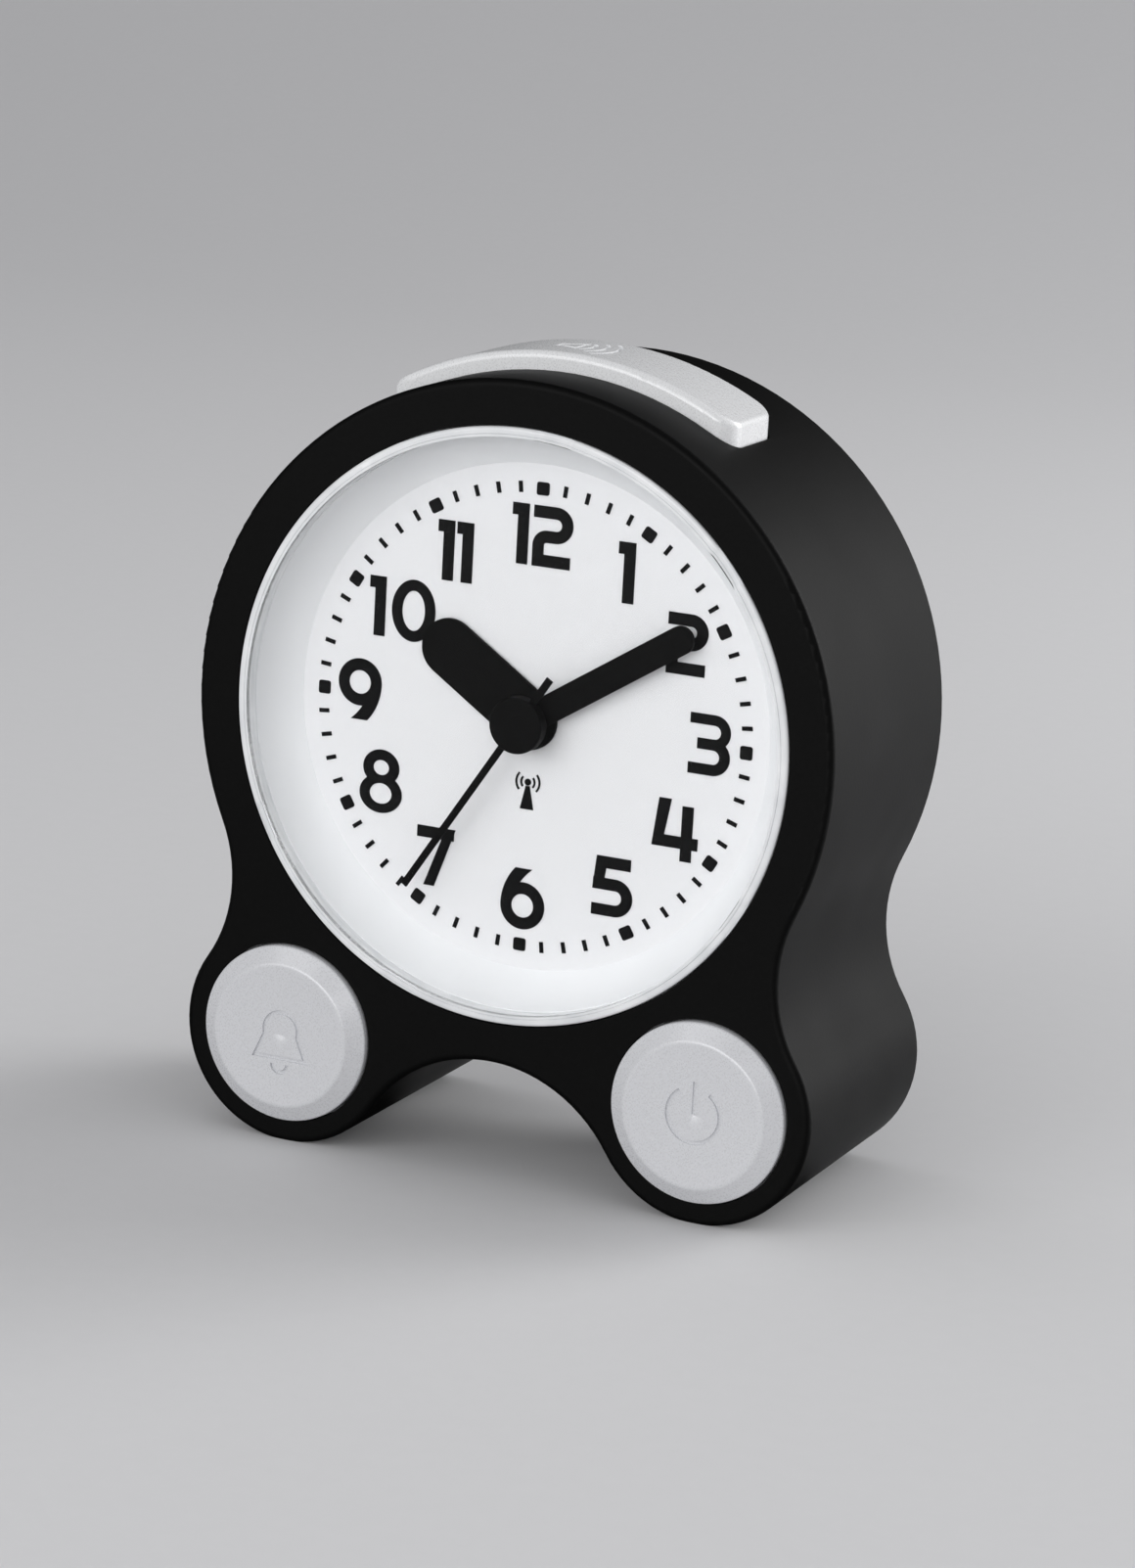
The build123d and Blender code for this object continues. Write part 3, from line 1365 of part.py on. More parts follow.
# Springs under the talk bar
with BuildPart() as talk_bar_springs:
    for side in (-1, 1):
        add(coil_spring((side * bar_spring_x, bar_middle_y, head_z + shelf_top_z), (0, 0, 1),
                        bar_spring_height, bar_spring_radius, bar_spring_wire, bar_spring_turns))
write(talk_bar_springs.part, "talk_bar_springs")

# Small board on the shelf for the talk bar's switch
with BuildPart() as talk_board:
    with BuildSketch(upright_plane(shelf_top_z)):
        Rectangle(talk_board_length, talk_board_depth)
    extrude(amount=board_thickness)
write(talk_board.part, "talk_board")


def switch_body(places):
    """Draw the bodies of push switches at their places on the current sketch."""
    with Locations(*places):
        RectangleRounded(switch_size, switch_size, switch_corner_round)


# The talk bar's push switch, with the well that its stem sinks into
with BuildPart() as talk_switch:
    with BuildSketch(upright_plane(shelf_top_z + board_thickness)):
        switch_body([(0, 0)])
    extrude(amount=switch_height)
    with BuildSketch(upright_plane(talk_switch_top_z)):
        Circle(switch_pocket_radius)
    extrude(amount=-bar_travel - switch_pocket_spare, mode=Mode.SUBTRACT)
write(talk_switch.part, "talk_switch")

# Front buttons: dished caps in the feet, each with a flange behind the face and a stem to its switch
button_front_y = front_y - button_proud
button_rim_y = front_y - button_edge_height
button_dish_y = button_front_y + button_dish_depth
button_roof_y = button_front_y + button_wall
button_seat_y = button_front_y + button_seat_depth
button_skirt_end_y = button_front_y + button_skirt_length
button_flange_y = front_wall_back_y + rest_gap
button_switch_y = button_board_front_y - switch_height
button_board_back_y = button_board_front_y + board_thickness
button_names = ("alarm_button", "on_off_button")
for side, button_name in zip((-1, 1), button_names):
    foot_axis = Axis((side * foot_x, 0, head_z - foot_drop), (0, 1, 0))
    foot_plane = Plane(origin=(side * foot_x, 0, head_z - foot_drop), x_dir=(1, 0, 0), z_dir=(0, 0, 1))
    sign_plane = Plane(origin=(side * foot_x, button_dish_y + button_sign_depth, head_z - foot_drop),
                       x_dir=(1, 0, 0), z_dir=(0, -1, 0))
    with BuildPart() as front_button:
        with BuildSketch(foot_plane):
            with BuildLine():
                TangentArc((0, button_dish_y), (button_face_radius, button_front_y), tangent=(1, 0))
                Polyline((button_face_radius, button_front_y),
                         (button_radius, button_rim_y), (button_radius, button_flange_y),
                         (button_flange_radius, button_flange_y),
                         (button_flange_radius, button_flange_y + button_flange_thickness),
                         (button_radius, button_flange_y + button_flange_thickness),
                         (button_radius, button_skirt_end_y),
                         (button_radius - button_wall, button_skirt_end_y),
                         (button_radius - button_wall, button_roof_y), (button_seat_radius, button_roof_y),
                         (button_seat_radius, button_seat_y), (button_guide_radius, button_seat_y),
                         (button_guide_radius, button_seat_y + button_guide_length),
                         (stem_radius, button_seat_y + button_guide_length),
                         (stem_radius, button_switch_y - stem_shoulder),
                         (stem_tip_radius, button_switch_y - stem_shoulder),
                         (stem_tip_radius, button_switch_y + stem_entry),
                         (0, button_switch_y + stem_entry), (0, button_dish_y))
            make_face()
        revolve(axis=foot_axis)
        rim_edges = front_button.edges().filter_by(GeomType.CIRCLE)
        fillet(rim_edges.filter_by_position(Axis.Y, button_rim_y, button_rim_y), button_edge_round)
        face_edge = front_button.edges().filter_by(GeomType.CIRCLE).sort_by(Axis.Y)[0]
        fillet(face_edge, button_face_round)
        with BuildSketch(sign_plane):
            if side < 0:
                bell_sign()
            else:
                power_sign()
        extrude(amount=button_dish_depth + button_sign_depth, mode=Mode.SUBTRACT)
    write(front_button.part, button_name)

    with BuildPart() as front_button_spring:
        add(coil_spring((side * foot_x, button_board_front_y, head_z - foot_drop), (0, -1, 0),
                        button_board_front_y - button_seat_y, button_spring_radius, button_spring_wire,
                        button_spring_turns))
    write(front_button_spring.part, f"{button_name}_spring")

# Round boards on the rear cover's posts, one behind each front button
peg_places = [(x + turn * (button_post_radius - button_post_wall / 2), z)
              for x, z in foot_places for turn in (-1, 1)]
with BuildPart() as button_boards:
    with BuildSketch(facing_plane(button_board_back_y)):
        with Locations(*foot_places):
            Circle(button_board_radius)
        with Locations(*peg_places):
            Circle(button_peg_radius, mode=Mode.SUBTRACT)
    extrude(amount=board_thickness)
write(button_boards.part, "button_boards")

# Push switches on the round boards
with BuildPart() as button_switches:
    with BuildSketch(facing_plane(button_board_front_y)):
        switch_body(foot_places)
    extrude(amount=switch_height)
    with BuildSketch(facing_plane(button_switch_y + button_travel + switch_pocket_spare)):
        with Locations(*foot_places):
            Circle(switch_pocket_radius)
    extrude(amount=button_travel + switch_pocket_spare, mode=Mode.SUBTRACT)
write(button_switches.part, "button_switches")

# Main board, held on four posts of the rear cover
main_board_back_y = main_board_front_y + main_board_thickness
board_post_upper = polar(main_board_radius - board_post_edge_inset, board_post_angle)
main_board_top_width = 2 * (board_post_upper[0] + board_post_side_inset)
board_posts = [(side * x, z) for side in (-1, 1) for x, z in (board_post_upper, board_post_lower)]
with BuildPart() as main_board:
    with BuildSketch(facing_plane(main_board_back_y)):
        Circle(main_board_radius)
        with BuildSketch(facing_plane(main_board_back_y), mode=Mode.PRIVATE) as board_shape:
            bar_by_edges(-main_board_width / 2, main_board_width / 2, main_board_bottom_z,
                         main_board_shoulder_z)
            bar_by_edges(-main_board_top_width / 2, main_board_top_width / 2, main_board_shoulder_z,
                         main_board_top_z)
        add(board_shape.sketch_local, mode=Mode.INTERSECT)
        with Locations(*board_posts):
            Circle(board_screw_radius + fit_gap, mode=Mode.SUBTRACT)
    extrude(amount=main_board_thickness)
write(main_board.part, "main_board")

# Screws through the main board into its posts
with BuildPart() as board_screws:
    for place in board_posts:
        add(screw_piece(place, main_board_front_y, 1, board_screw_radius, board_screw_length,
                        board_screw_head_radius, board_screw_head_height))
write(board_screws.part, "board_screws")

# Chips, crystal and capacitors on the back of the main board
chip_back_y = main_board_back_y + chip_height
with BuildPart() as voice_chip:
    with BuildSketch(facing_plane(chip_back_y)):
        with Locations(voice_chip_place):
            Rectangle(*voice_chip_size)
    extrude(amount=chip_height)
write(voice_chip.part, "voice_chip")

with BuildPart() as clock_chip:
    with BuildSketch(facing_plane(chip_back_y)):
        with Locations(clock_chip_place):
            Rectangle(*clock_chip_size)
    extrude(amount=chip_height)
write(clock_chip.part, "clock_chip")

with BuildPart() as quartz_crystal:
    with BuildSketch(Plane(origin=(crystal_place[0] - crystal_length / 2, main_board_back_y + crystal_radius,
                                   head_z + crystal_place[1]), x_dir=(0, 1, 0), z_dir=(1, 0, 0))):
        Circle(crystal_radius)
    extrude(amount=crystal_length)
write(quartz_crystal.part, "quartz_crystal")

with BuildPart() as capacitors:
    with BuildSketch(facing_plane(main_board_back_y + capacitor_height)):
        with Locations(*capacitor_places):
            Circle(capacitor_radius)
    extrude(amount=capacitor_height)
write(capacitors.part, "capacitors")

# Speaker: dished basket, paper cone and magnet, behind the rear cover's grille
speaker_axis = Axis((0, 0, head_z + speaker_middle_z), (0, 1, 0))
speaker_plane = Plane(origin=(0, 0, head_z + speaker_middle_z), x_dir=(1, 0, 0), z_dir=(0, 0, 1))
speaker_bottom_y = cover_front_y - speaker_depth
rim_inner_radius = speaker_radius - speaker_rim_width
rim_front_y = cover_front_y - speaker_rim_thickness
with BuildPart() as speaker_frame:
    with BuildSketch(speaker_plane):
        with BuildLine():
            Polyline((speaker_radius, cover_front_y), (speaker_radius, rim_front_y),
                     (speaker_shoulder_radius, rim_front_y), (speaker_floor_radius, speaker_bottom_y),
                     (0, speaker_bottom_y), (0, speaker_bottom_y + speaker_floor_thickness),
                     (speaker_floor_radius + speaker_floor_thickness - speaker_basket_wall,
                      speaker_bottom_y + speaker_floor_thickness),
                     (rim_inner_radius, rim_front_y + speaker_shoulder_radius - rim_inner_radius
                      - speaker_basket_wall + speaker_floor_thickness),
                     (rim_inner_radius, cover_front_y), close=True)
        make_face()
    revolve(axis=speaker_axis)
write(speaker_frame.part, "speaker_frame")

cone_edge_y = cover_front_y - cone_rest_gap
cone_cap_y = cone_edge_y - cone_depth
cap_sphere = (cone_cap_radius * cone_cap_radius + cone_cap_rise * cone_cap_rise) / (2 * cone_cap_rise)
cap_half_turn = (pi / 2 - acos(cone_cap_radius / cap_sphere)) / 2
cap_half_point = (cap_sphere * sin(cap_half_turn),
                  cone_cap_y + cone_cap_rise - cap_sphere * (1 - cos(cap_half_turn)))
with BuildPart() as speaker_cone:
    with BuildSketch(speaker_plane):
        with BuildLine():
            Line((rim_inner_radius, cone_edge_y), (cone_cap_radius, cone_cap_y))
            ThreePointArc((cone_cap_radius, cone_cap_y), cap_half_point, (0, cone_cap_y + cone_cap_rise))
            Line((0, cone_cap_y + cone_cap_rise), (0, cone_cap_y + cone_cap_rise - cone_thickness))
            ThreePointArc((0, cone_cap_y + cone_cap_rise - cone_thickness),
                          (cap_half_point[0], cap_half_point[1] - cone_thickness),
                          (cone_cap_radius, cone_cap_y - cone_thickness))
            Line((cone_cap_radius, cone_cap_y - cone_thickness),
                 (rim_inner_radius, cone_edge_y - cone_thickness))
            Line((rim_inner_radius, cone_edge_y - cone_thickness), (rim_inner_radius, cone_edge_y))
        make_face()
    revolve(axis=speaker_axis)
write(speaker_cone.part, "speaker_cone")

with BuildPart() as speaker_magnet:
    with BuildSketch(facing_plane(speaker_bottom_y)):
        with Locations((0, speaker_middle_z)):
            Circle(speaker_magnet_radius)
    extrude(amount=speaker_magnet_thickness)
write(speaker_magnet.part, "speaker_magnet")

# Rear cover: plate, battery tray, grille, speaker ring, posts and openings for the rear controls
tray_inner_half = tray_half_width - tray_wall
window_front_y = back_y - door_thickness - fit_gap
cell_heights = (upper_cell_z, lower_cell_z)
door_pivot_y = back_y - door_thickness / 2
door_pivot_z = tray_top_z - door_gap - door_thickness / 2
set_places = [(set_button_x, z) for z in set_button_heights]
recess_radius = case_screw_head_radius + case_screw_gap
cradle_back_y = cell_middle_y - cell_radius * (1 - cradle_rib_share)
with BuildPart() as rear_cover:
    with BuildSketch(facing_plane(back_y)):
        body_outline(side_wall - cover_rebate + cover_gap)
    extrude(amount=cover_thickness)
    fillet(rear_cover.faces().sort_by(Axis.Y)[-1].edges(), cover_edge_round)
    with BuildSketch(facing_plane(cover_front_y)):
        bar_by_edges(-tray_half_width, tray_half_width, tray_bottom_z, tray_top_z)
    extrude(amount=cover_front_y - tray_front_y)
    with BuildSketch(facing_plane(cover_front_y)):
        bar_by_edges(-tray_half_width - tray_rim_width, tray_half_width + tray_rim_width,
                     tray_bottom_z - tray_rim_width, tray_top_z + tray_rim_width)
        with Locations((0, speaker_middle_z)):
            Circle(speaker_radius + fit_gap + speaker_ring_wall)
            Circle(speaker_radius + fit_gap, mode=Mode.SUBTRACT)
    extrude(amount=tray_rim_depth)
    with BuildSketch(facing_plane(cover_front_y)):
        with Locations((0, speaker_middle_z)):
            for hook_angle in speaker_hook_angles:
                with Locations(Rot(0, 0, hook_angle)):
                    with Locations((speaker_radius + fit_gap + speaker_ring_wall / 2, 0)):
                        Rectangle(speaker_ring_wall, speaker_hook_width)
    extrude(amount=speaker_rim_thickness + fit_gap + speaker_ring_wall)
    with BuildSketch(facing_plane(rim_front_y - fit_gap)):
        with Locations((0, speaker_middle_z)):
            for hook_angle in speaker_hook_angles:
                with Locations(Rot(0, 0, hook_angle)):
                    with Locations((speaker_radius + fit_gap + speaker_ring_wall - speaker_hook_reach, 0)):
                        Rectangle(2 * speaker_hook_reach, speaker_hook_width)
    extrude(amount=speaker_ring_wall)
    with BuildSketch(facing_plane(cover_front_y)):
        with Locations(*board_posts):
            Circle(board_post_radius)
    extrude(amount=cover_front_y - main_board_back_y)
    with BuildSketch(facing_plane(cover_front_y)):
        with Locations(*foot_places):
            Circle(button_post_radius)
    extrude(amount=cover_front_y - button_board_back_y)
    with BuildSketch(facing_plane(cover_front_y)):
        with Locations(*foot_places):
            Circle(button_post_radius - button_post_wall)
    extrude(amount=cover_front_y - button_board_back_y, mode=Mode.SUBTRACT)
    with BuildSketch(facing_plane(button_board_back_y)):
        with Locations(*peg_places):
            Circle(button_peg_radius)
    extrude(amount=board_thickness)
    with BuildSketch(facing_plane(main_board_front_y + board_screw_length + fit_gap)):
        with Locations(*board_posts):
            Circle(board_screw_radius + fit_gap / 2)
    extrude(amount=board_screw_length + fit_gap - main_board_thickness, mode=Mode.SUBTRACT)
    with BuildSketch(facing_plane(window_front_y)):
        bar_by_edges(-tray_half_width, tray_half_width, tray_bottom_z, tray_top_z)
    extrude(amount=-back_y, mode=Mode.SUBTRACT)
    with BuildSketch(facing_plane(window_front_y)):
        bar_by_edges(-tray_inner_half, tray_inner_half, tray_bottom_z + tray_wall, tray_top_z - tray_wall)
    extrude(amount=window_front_y - tray_front_y - tray_wall, mode=Mode.SUBTRACT)
    with BuildSketch(facing_plane(cradle_back_y)):
        for side in (-1, 1):
            with Locations((side * cradle_rib_x, (upper_cell_z + lower_cell_z) / 2)):
                Rectangle(cradle_rib_width, tray_top_z - tray_bottom_z - tray_wall)
    extrude(amount=cradle_back_y - tray_front_y - tray_wall / 2)
    for cell_z in cell_heights:
        with BuildSketch(Plane(origin=(-cradle_rib_x - cradle_rib_width, cell_middle_y, head_z + cell_z),
                               x_dir=(0, 1, 0), z_dir=(1, 0, 0))):
            Circle(cell_radius + fit_gap)
        extrude(amount=2 * (cradle_rib_x + cradle_rib_width), mode=Mode.SUBTRACT)
        with BuildSketch(Plane(origin=(tray_inner_half, cell_middle_y, head_z + cell_z + contact_tab_rise),
                               x_dir=(0, 1, 0), z_dir=(1, 0, 0))):
            Rectangle(contact_tab_width + 2 * contact_tab_gap, contact_thickness + 2 * contact_tab_gap)
        extrude(amount=tray_wall, mode=Mode.SUBTRACT)
    with BuildSketch(Plane(origin=(-tray_half_width - door_pin_length - fit_gap, door_pivot_y,
                                   head_z + door_pivot_z), x_dir=(0, 1, 0), z_dir=(1, 0, 0))):
        Circle(door_pin_radius + door_pin_gap)
    extrude(amount=2 * (tray_half_width + door_pin_length + fit_gap), mode=Mode.SUBTRACT)
    with BuildSketch(facing_plane(back_y + cut_over)):
        for ring_radius in grille_ring_radii:
            for bridge in range(grille_bridges):
                first = 90.0 + bridge * 360.0 / grille_bridges + grille_bridge_degrees / 2
                last = first + 360.0 / grille_bridges - grille_bridge_degrees
                ring_piece((0, speaker_middle_z), ring_radius + grille_slot_width / 2,
                           ring_radius - grille_slot_width / 2, first, last)
        with Locations(*set_places):
            Circle(set_button_radius + slide_gap)
        with Locations((volume_x, volume_z)):
            RectangleRounded(volume_slot_width, volume_slot_height, slide_gap)
        with Locations(*post_places, *low_post_places):
            Circle(case_screw_radius + case_screw_gap)
    extrude(amount=cover_thickness + 2 * cut_over, mode=Mode.SUBTRACT)
    with BuildSketch(facing_plane(back_y - screw_recess_depth)):
        with Locations(*post_places, *low_post_places):
            Circle(recess_radius)
    extrude(amount=-back_y, mode=Mode.SUBTRACT)
write(rear_cover.part, "rear_cover")

# Case screws through the rear cover into the housing's posts
with BuildPart() as housing_screws:
    for place in post_places + low_post_places:
        add(screw_piece(place, back_y - screw_recess_depth, -1, case_screw_radius, case_screw_length,
                        case_screw_head_radius, case_screw_head_height))
write(housing_screws.part, "housing_screws")

# Battery cells, the upper one with its raised end to the right and the lower one to the left
contact_x = tray_inner_half - contact_thickness
with BuildPart() as battery_cells:
    for way, cell_z in zip((1, -1), cell_heights):
        cell_plane = Plane(origin=(way * contact_x, cell_middle_y, head_z + cell_z), x_dir=(0, 1, 0),
                           z_dir=(-way, 0, 0))
        with BuildSketch(cell_plane):
            Circle(cell_nub_radius)
        extrude(amount=cell_nub_length)
        with BuildSketch(cell_plane.offset(cell_nub_length)):
            Circle(cell_radius)
        extrude(amount=cell_length)
    round_edges = battery_cells.edges().filter_by(GeomType.CIRCLE)
    fillet(round_edges.filter_by(lambda edge: edge.radius > cell_nub_radius), cell_edge_round)
write(battery_cells.part, "battery_cells")

# Contact plates: a joined one on the left, two on the right with tabs through the tray's end wall
with BuildPart() as battery_contacts:
    cells_middle_z = (upper_cell_z + lower_cell_z) / 2
    with BuildSketch(Plane(origin=(-tray_inner_half, cell_middle_y, head_z + cells_middle_z),
                           x_dir=(0, 1, 0), z_dir=(1, 0, 0))):
        Rectangle(contact_size, contact_size + upper_cell_z - lower_cell_z)
    extrude(amount=contact_thickness)
    for cell_z in cell_heights:
        with BuildSketch(Plane(origin=(contact_x, cell_middle_y, head_z + cell_z), x_dir=(0, 1, 0),
                               z_dir=(1, 0, 0))):
            Rectangle(contact_size, contact_size)
        extrude(amount=contact_thickness)
        with BuildSketch(Plane(origin=(tray_inner_half, cell_middle_y, head_z + cell_z + contact_tab_rise),
                               x_dir=(0, 1, 0), z_dir=(1, 0, 0))):
            Rectangle(contact_tab_width, contact_thickness)
        extrude(amount=contact_tab_length)
write(battery_contacts.part, "battery_contacts")

# Contact springs at the flat ends of the cells
with BuildPart() as battery_springs:
    for way, cell_z in zip((-1, 1), cell_heights):
        add(coil_spring((way * contact_x, cell_middle_y, head_z + cell_z), (-way, 0, 0),
                        2 * contact_x - cell_length - cell_nub_length, contact_spring_radius,
                        contact_spring_wire, contact_spring_turns, contact_spring_tip_radius))
write(battery_springs.part, "battery_springs")

# Battery door: plate that turns on two pins at its rounded top edge, with a tongue and a finger grip
door_half_width = tray_half_width - door_gap
door_bottom_z = tray_bottom_z + door_gap
tongue_z = tray_bottom_z + tray_wall + door_gap + door_tongue_thickness / 2
grip_z = door_bottom_z + door_grip_rise
with BuildPart() as battery_door:
    with BuildSketch(facing_plane(back_y)):
        bar_by_edges(-door_half_width, door_half_width, door_bottom_z, door_pivot_z)
    extrude(amount=door_thickness)
    with BuildSketch(Plane(origin=(-door_half_width, door_pivot_y, head_z + door_pivot_z),
                           x_dir=(0, 1, 0), z_dir=(1, 0, 0))):
        Circle(door_thickness / 2)
    extrude(amount=2 * door_half_width)
    with BuildSketch(Plane(origin=(-tray_half_width - door_pin_length, door_pivot_y, head_z + door_pivot_z),
                           x_dir=(0, 1, 0), z_dir=(1, 0, 0))):
        Circle(door_pin_radius)
    extrude(amount=2 * (tray_half_width + door_pin_length))
    with BuildSketch(facing_plane(back_y - door_thickness)):
        with Locations((0, tongue_z)):
            Rectangle(door_tongue_width, door_tongue_thickness)
    extrude(amount=door_tongue_reach)
    with BuildSketch(facing_plane(back_y - door_grip_depth)):
        with Locations((0, grip_z)):
            RectangleRounded(door_grip_width, door_grip_height + door_rib_pitch, door_grip_depth)
    extrude(amount=-door_thickness, mode=Mode.SUBTRACT)
    with BuildSketch(facing_plane(back_y - door_grip_depth)):
        for rib in range(door_rib_count):
            with Locations((0, grip_z + (rib - (door_rib_count - 1) / 2) * door_rib_pitch)):
                Rectangle(door_grip_width - door_grip_height, door_rib_thickness)
    extrude(amount=-door_rib_height)
write(battery_door.part, "battery_door")

# Rear setting buttons, each with a collar inside the cover and a stem to its switch
set_switch_y = main_board_back_y + switch_height
set_collar_y = cover_front_y - rest_gap
set_names = ("hour_set_button", "minute_set_button", "alarm_set_button")
for place, set_name in zip(set_places, set_names):
    with BuildPart() as set_button:
        with BuildSketch(facing_plane(back_y + set_button_proud)):
            with Locations(place):
                Circle(set_button_radius)
        extrude(amount=back_y + set_button_proud - set_collar_y)
        fillet(set_button.faces().sort_by(Axis.Y)[-1].edges(), set_edge_round)
        with BuildSketch(facing_plane(set_collar_y)):
            with Locations(place):
                Circle(set_collar_radius)
        extrude(amount=set_collar_thickness)
        with BuildSketch(facing_plane(set_collar_y - set_collar_thickness)):
            with Locations(place):
                Circle(set_stem_radius)
        extrude(amount=set_collar_y - set_collar_thickness - set_switch_y - stem_shoulder)
        with BuildSketch(facing_plane(set_switch_y + stem_shoulder)):
            with Locations(place):
                Circle(stem_tip_radius)
        extrude(amount=stem_shoulder + stem_entry)
    write(set_button.part, set_name)

# Switches behind the setting buttons
with BuildPart() as set_switches:
    with BuildSketch(facing_plane(set_switch_y)):
        switch_body(set_places)
    extrude(amount=switch_height)
    with BuildSketch(facing_plane(set_switch_y)):
        with Locations(*set_places):
            Circle(switch_pocket_radius)
    extrude(amount=set_button_travel + switch_pocket_spare, mode=Mode.SUBTRACT)
write(set_switches.part, "set_switches")

# Volume knob, sliding in its slot, and the slide switch that its lever reaches into
volume_body_y = main_board_back_y + volume_body_depth
with BuildPart() as volume_knob:
    with BuildSketch(facing_plane(back_y + volume_knob_proud)):
        with Locations((volume_x, volume_z)):
            Rectangle(volume_knob_width, volume_knob_height)
    extrude(amount=back_y + volume_knob_proud - cover_front_y + rest_gap)
    with BuildSketch(facing_plane(cover_front_y - rest_gap)):
        with Locations((volume_x, volume_z)):
            Rectangle(volume_shoe_width, volume_shoe_height)
    extrude(amount=volume_shoe_thickness)
    with BuildSketch(facing_plane(cover_front_y - rest_gap - volume_shoe_thickness)):
        with Locations((volume_x, volume_z)):
            Rectangle(volume_lever_width, volume_lever_height)
    extrude(amount=cover_front_y - rest_gap - volume_shoe_thickness - volume_body_y + volume_lever_entry)
write(volume_knob.part, "volume_knob")

with BuildPart() as volume_switch:
    with BuildSketch(facing_plane(volume_body_y)):
        with Locations((volume_x, volume_z)):
            Rectangle(volume_body_width, volume_body_height)
    extrude(amount=volume_body_depth)
    with BuildSketch(facing_plane(volume_body_y)):
        with Locations((volume_x, volume_z)):
            Rectangle(volume_lever_width + 2 * slide_gap,
                      volume_lever_height + 2 * volume_travel + 2 * slide_gap)
    extrude(amount=volume_groove_depth, mode=Mode.SUBTRACT)
write(volume_switch.part, "volume_switch")

# Ferrite rod of the radio aerial, in the carrier's clips, and its winding
with BuildPart() as ferrite_rod:
    with BuildSketch(Plane(origin=(-rod_length / 2, rod_middle_y, head_z + rod_middle_z), x_dir=(0, 1, 0),
                           z_dir=(1, 0, 0))):
        Circle(rod_radius)
    extrude(amount=rod_length)
write(ferrite_rod.part, "ferrite_rod")

with BuildPart() as antenna_coil:
    with BuildSketch(Plane(origin=(-rod_coil_length / 2, rod_middle_y, head_z + rod_middle_z),
                           x_dir=(0, 1, 0), z_dir=(1, 0, 0))):
        Circle(rod_coil_radius)
        Circle(rod_radius, mode=Mode.SUBTRACT)
    extrude(amount=rod_coil_length)
write(antenna_coil.part, "antenna_coil")


def lead(points, start_way, end_way):
    """An insulated lead swept through points given as x, y and height above the clock's axis."""
    with BuildPart(mode=Mode.PRIVATE) as wire:
        with BuildLine():
            path = Spline(*[(x, y, head_z + z) for x, y, z in points], tangents=(start_way, end_way))
        with BuildSketch(Plane(origin=path @ 0, z_dir=path % 0)):
            Circle(lead_radius)
        sweep(path=path)
    return wire.part


# Leads: two to the speaker, each front button and the talk switch, one each to aerial and contacts
tab_top_z = contact_tab_rise + contact_thickness / 2
tab_middle_x = tray_half_width + (contact_tab_length - tray_wall) / 2
rim_middle_radius = (speaker_radius + speaker_shoulder_radius) / 2


def lead_end(inset):
    """Where a lead meets the main board: its distances from the board's side and bottom edges."""
    return (main_board_width / 2 - inset[0], main_board_bottom_z + inset[1])


aerial_lead_end = lead_end(aerial_lead_end_inset)
button_lead_end = lead_end(button_lead_end_inset)
upper_lead_end = lead_end(upper_lead_end_inset)
lower_lead_end = lead_end(lower_lead_end_inset)
with BuildPart() as lead_wires:
    for side in (-1, 1):
        add(lead([(side * speaker_lead_end[0], rim_front_y, speaker_middle_z - rim_middle_radius),
                  (side * speaker_lead_bend[0], speaker_lead_bend[1], speaker_lead_bend[2]),
                  (side * speaker_lead_end[0], main_board_back_y, speaker_lead_end[1])],
                 (0, -1, 0), (0, -1, 0)))
        add(lead([(side * talk_lead_start[0], talk_lead_start[1], shelf_top_z + board_thickness),
                  (side * talk_lead_start[0], main_board_front_y, shelf_top_z + talk_lead_rise)],
                 (0, 0, 1), (0, 1, 0)))
        for shift in (-lead_pitch / 2, lead_pitch / 2):
            bends = [(side * (x + shift), y, z) for x, y, z in button_lead_bends]
            add(lead([(side * (foot_x + button_lead_offset[0] + shift), button_board_back_y,
                       button_lead_offset[1] - foot_drop),
                      *bends,
                      (side * (button_lead_end[0] + shift), main_board_front_y, button_lead_end[1])],
                     (0, 1, 0), (0, 1, 0)))
    add(lead([(rod_coil_length / 2, rod_middle_y + (rod_radius + rod_coil_radius) / 2, rod_middle_z),
              *aerial_lead_bends, (aerial_lead_end[0], main_board_front_y, aerial_lead_end[1])],
             (1, 0, 0), (0, 1, 0)))
    add(lead([(tab_middle_x, cell_middle_y, upper_cell_z + tab_top_z), *upper_lead_bends,
              (upper_lead_end[0], main_board_back_y, upper_lead_end[1])], (0, 0, 1), (0, -1, 0)))
    add(lead([(tab_middle_x, cell_middle_y, lower_cell_z + tab_top_z), *lower_lead_bends,
              (lower_lead_end[0], main_board_back_y, lower_lead_end[1])], (0, 0, 1), (0, -1, 0)))
write(lead_wires.part, "lead_wires")
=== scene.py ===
"""Looks for a talking table clock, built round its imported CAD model.

The file is laid out as a Blender add-on and run as a script. Lengths in the code are millimetres,
turned to metres where a mesh or a lamp needs them. The dial looks along -Y and +Z is up.
"""

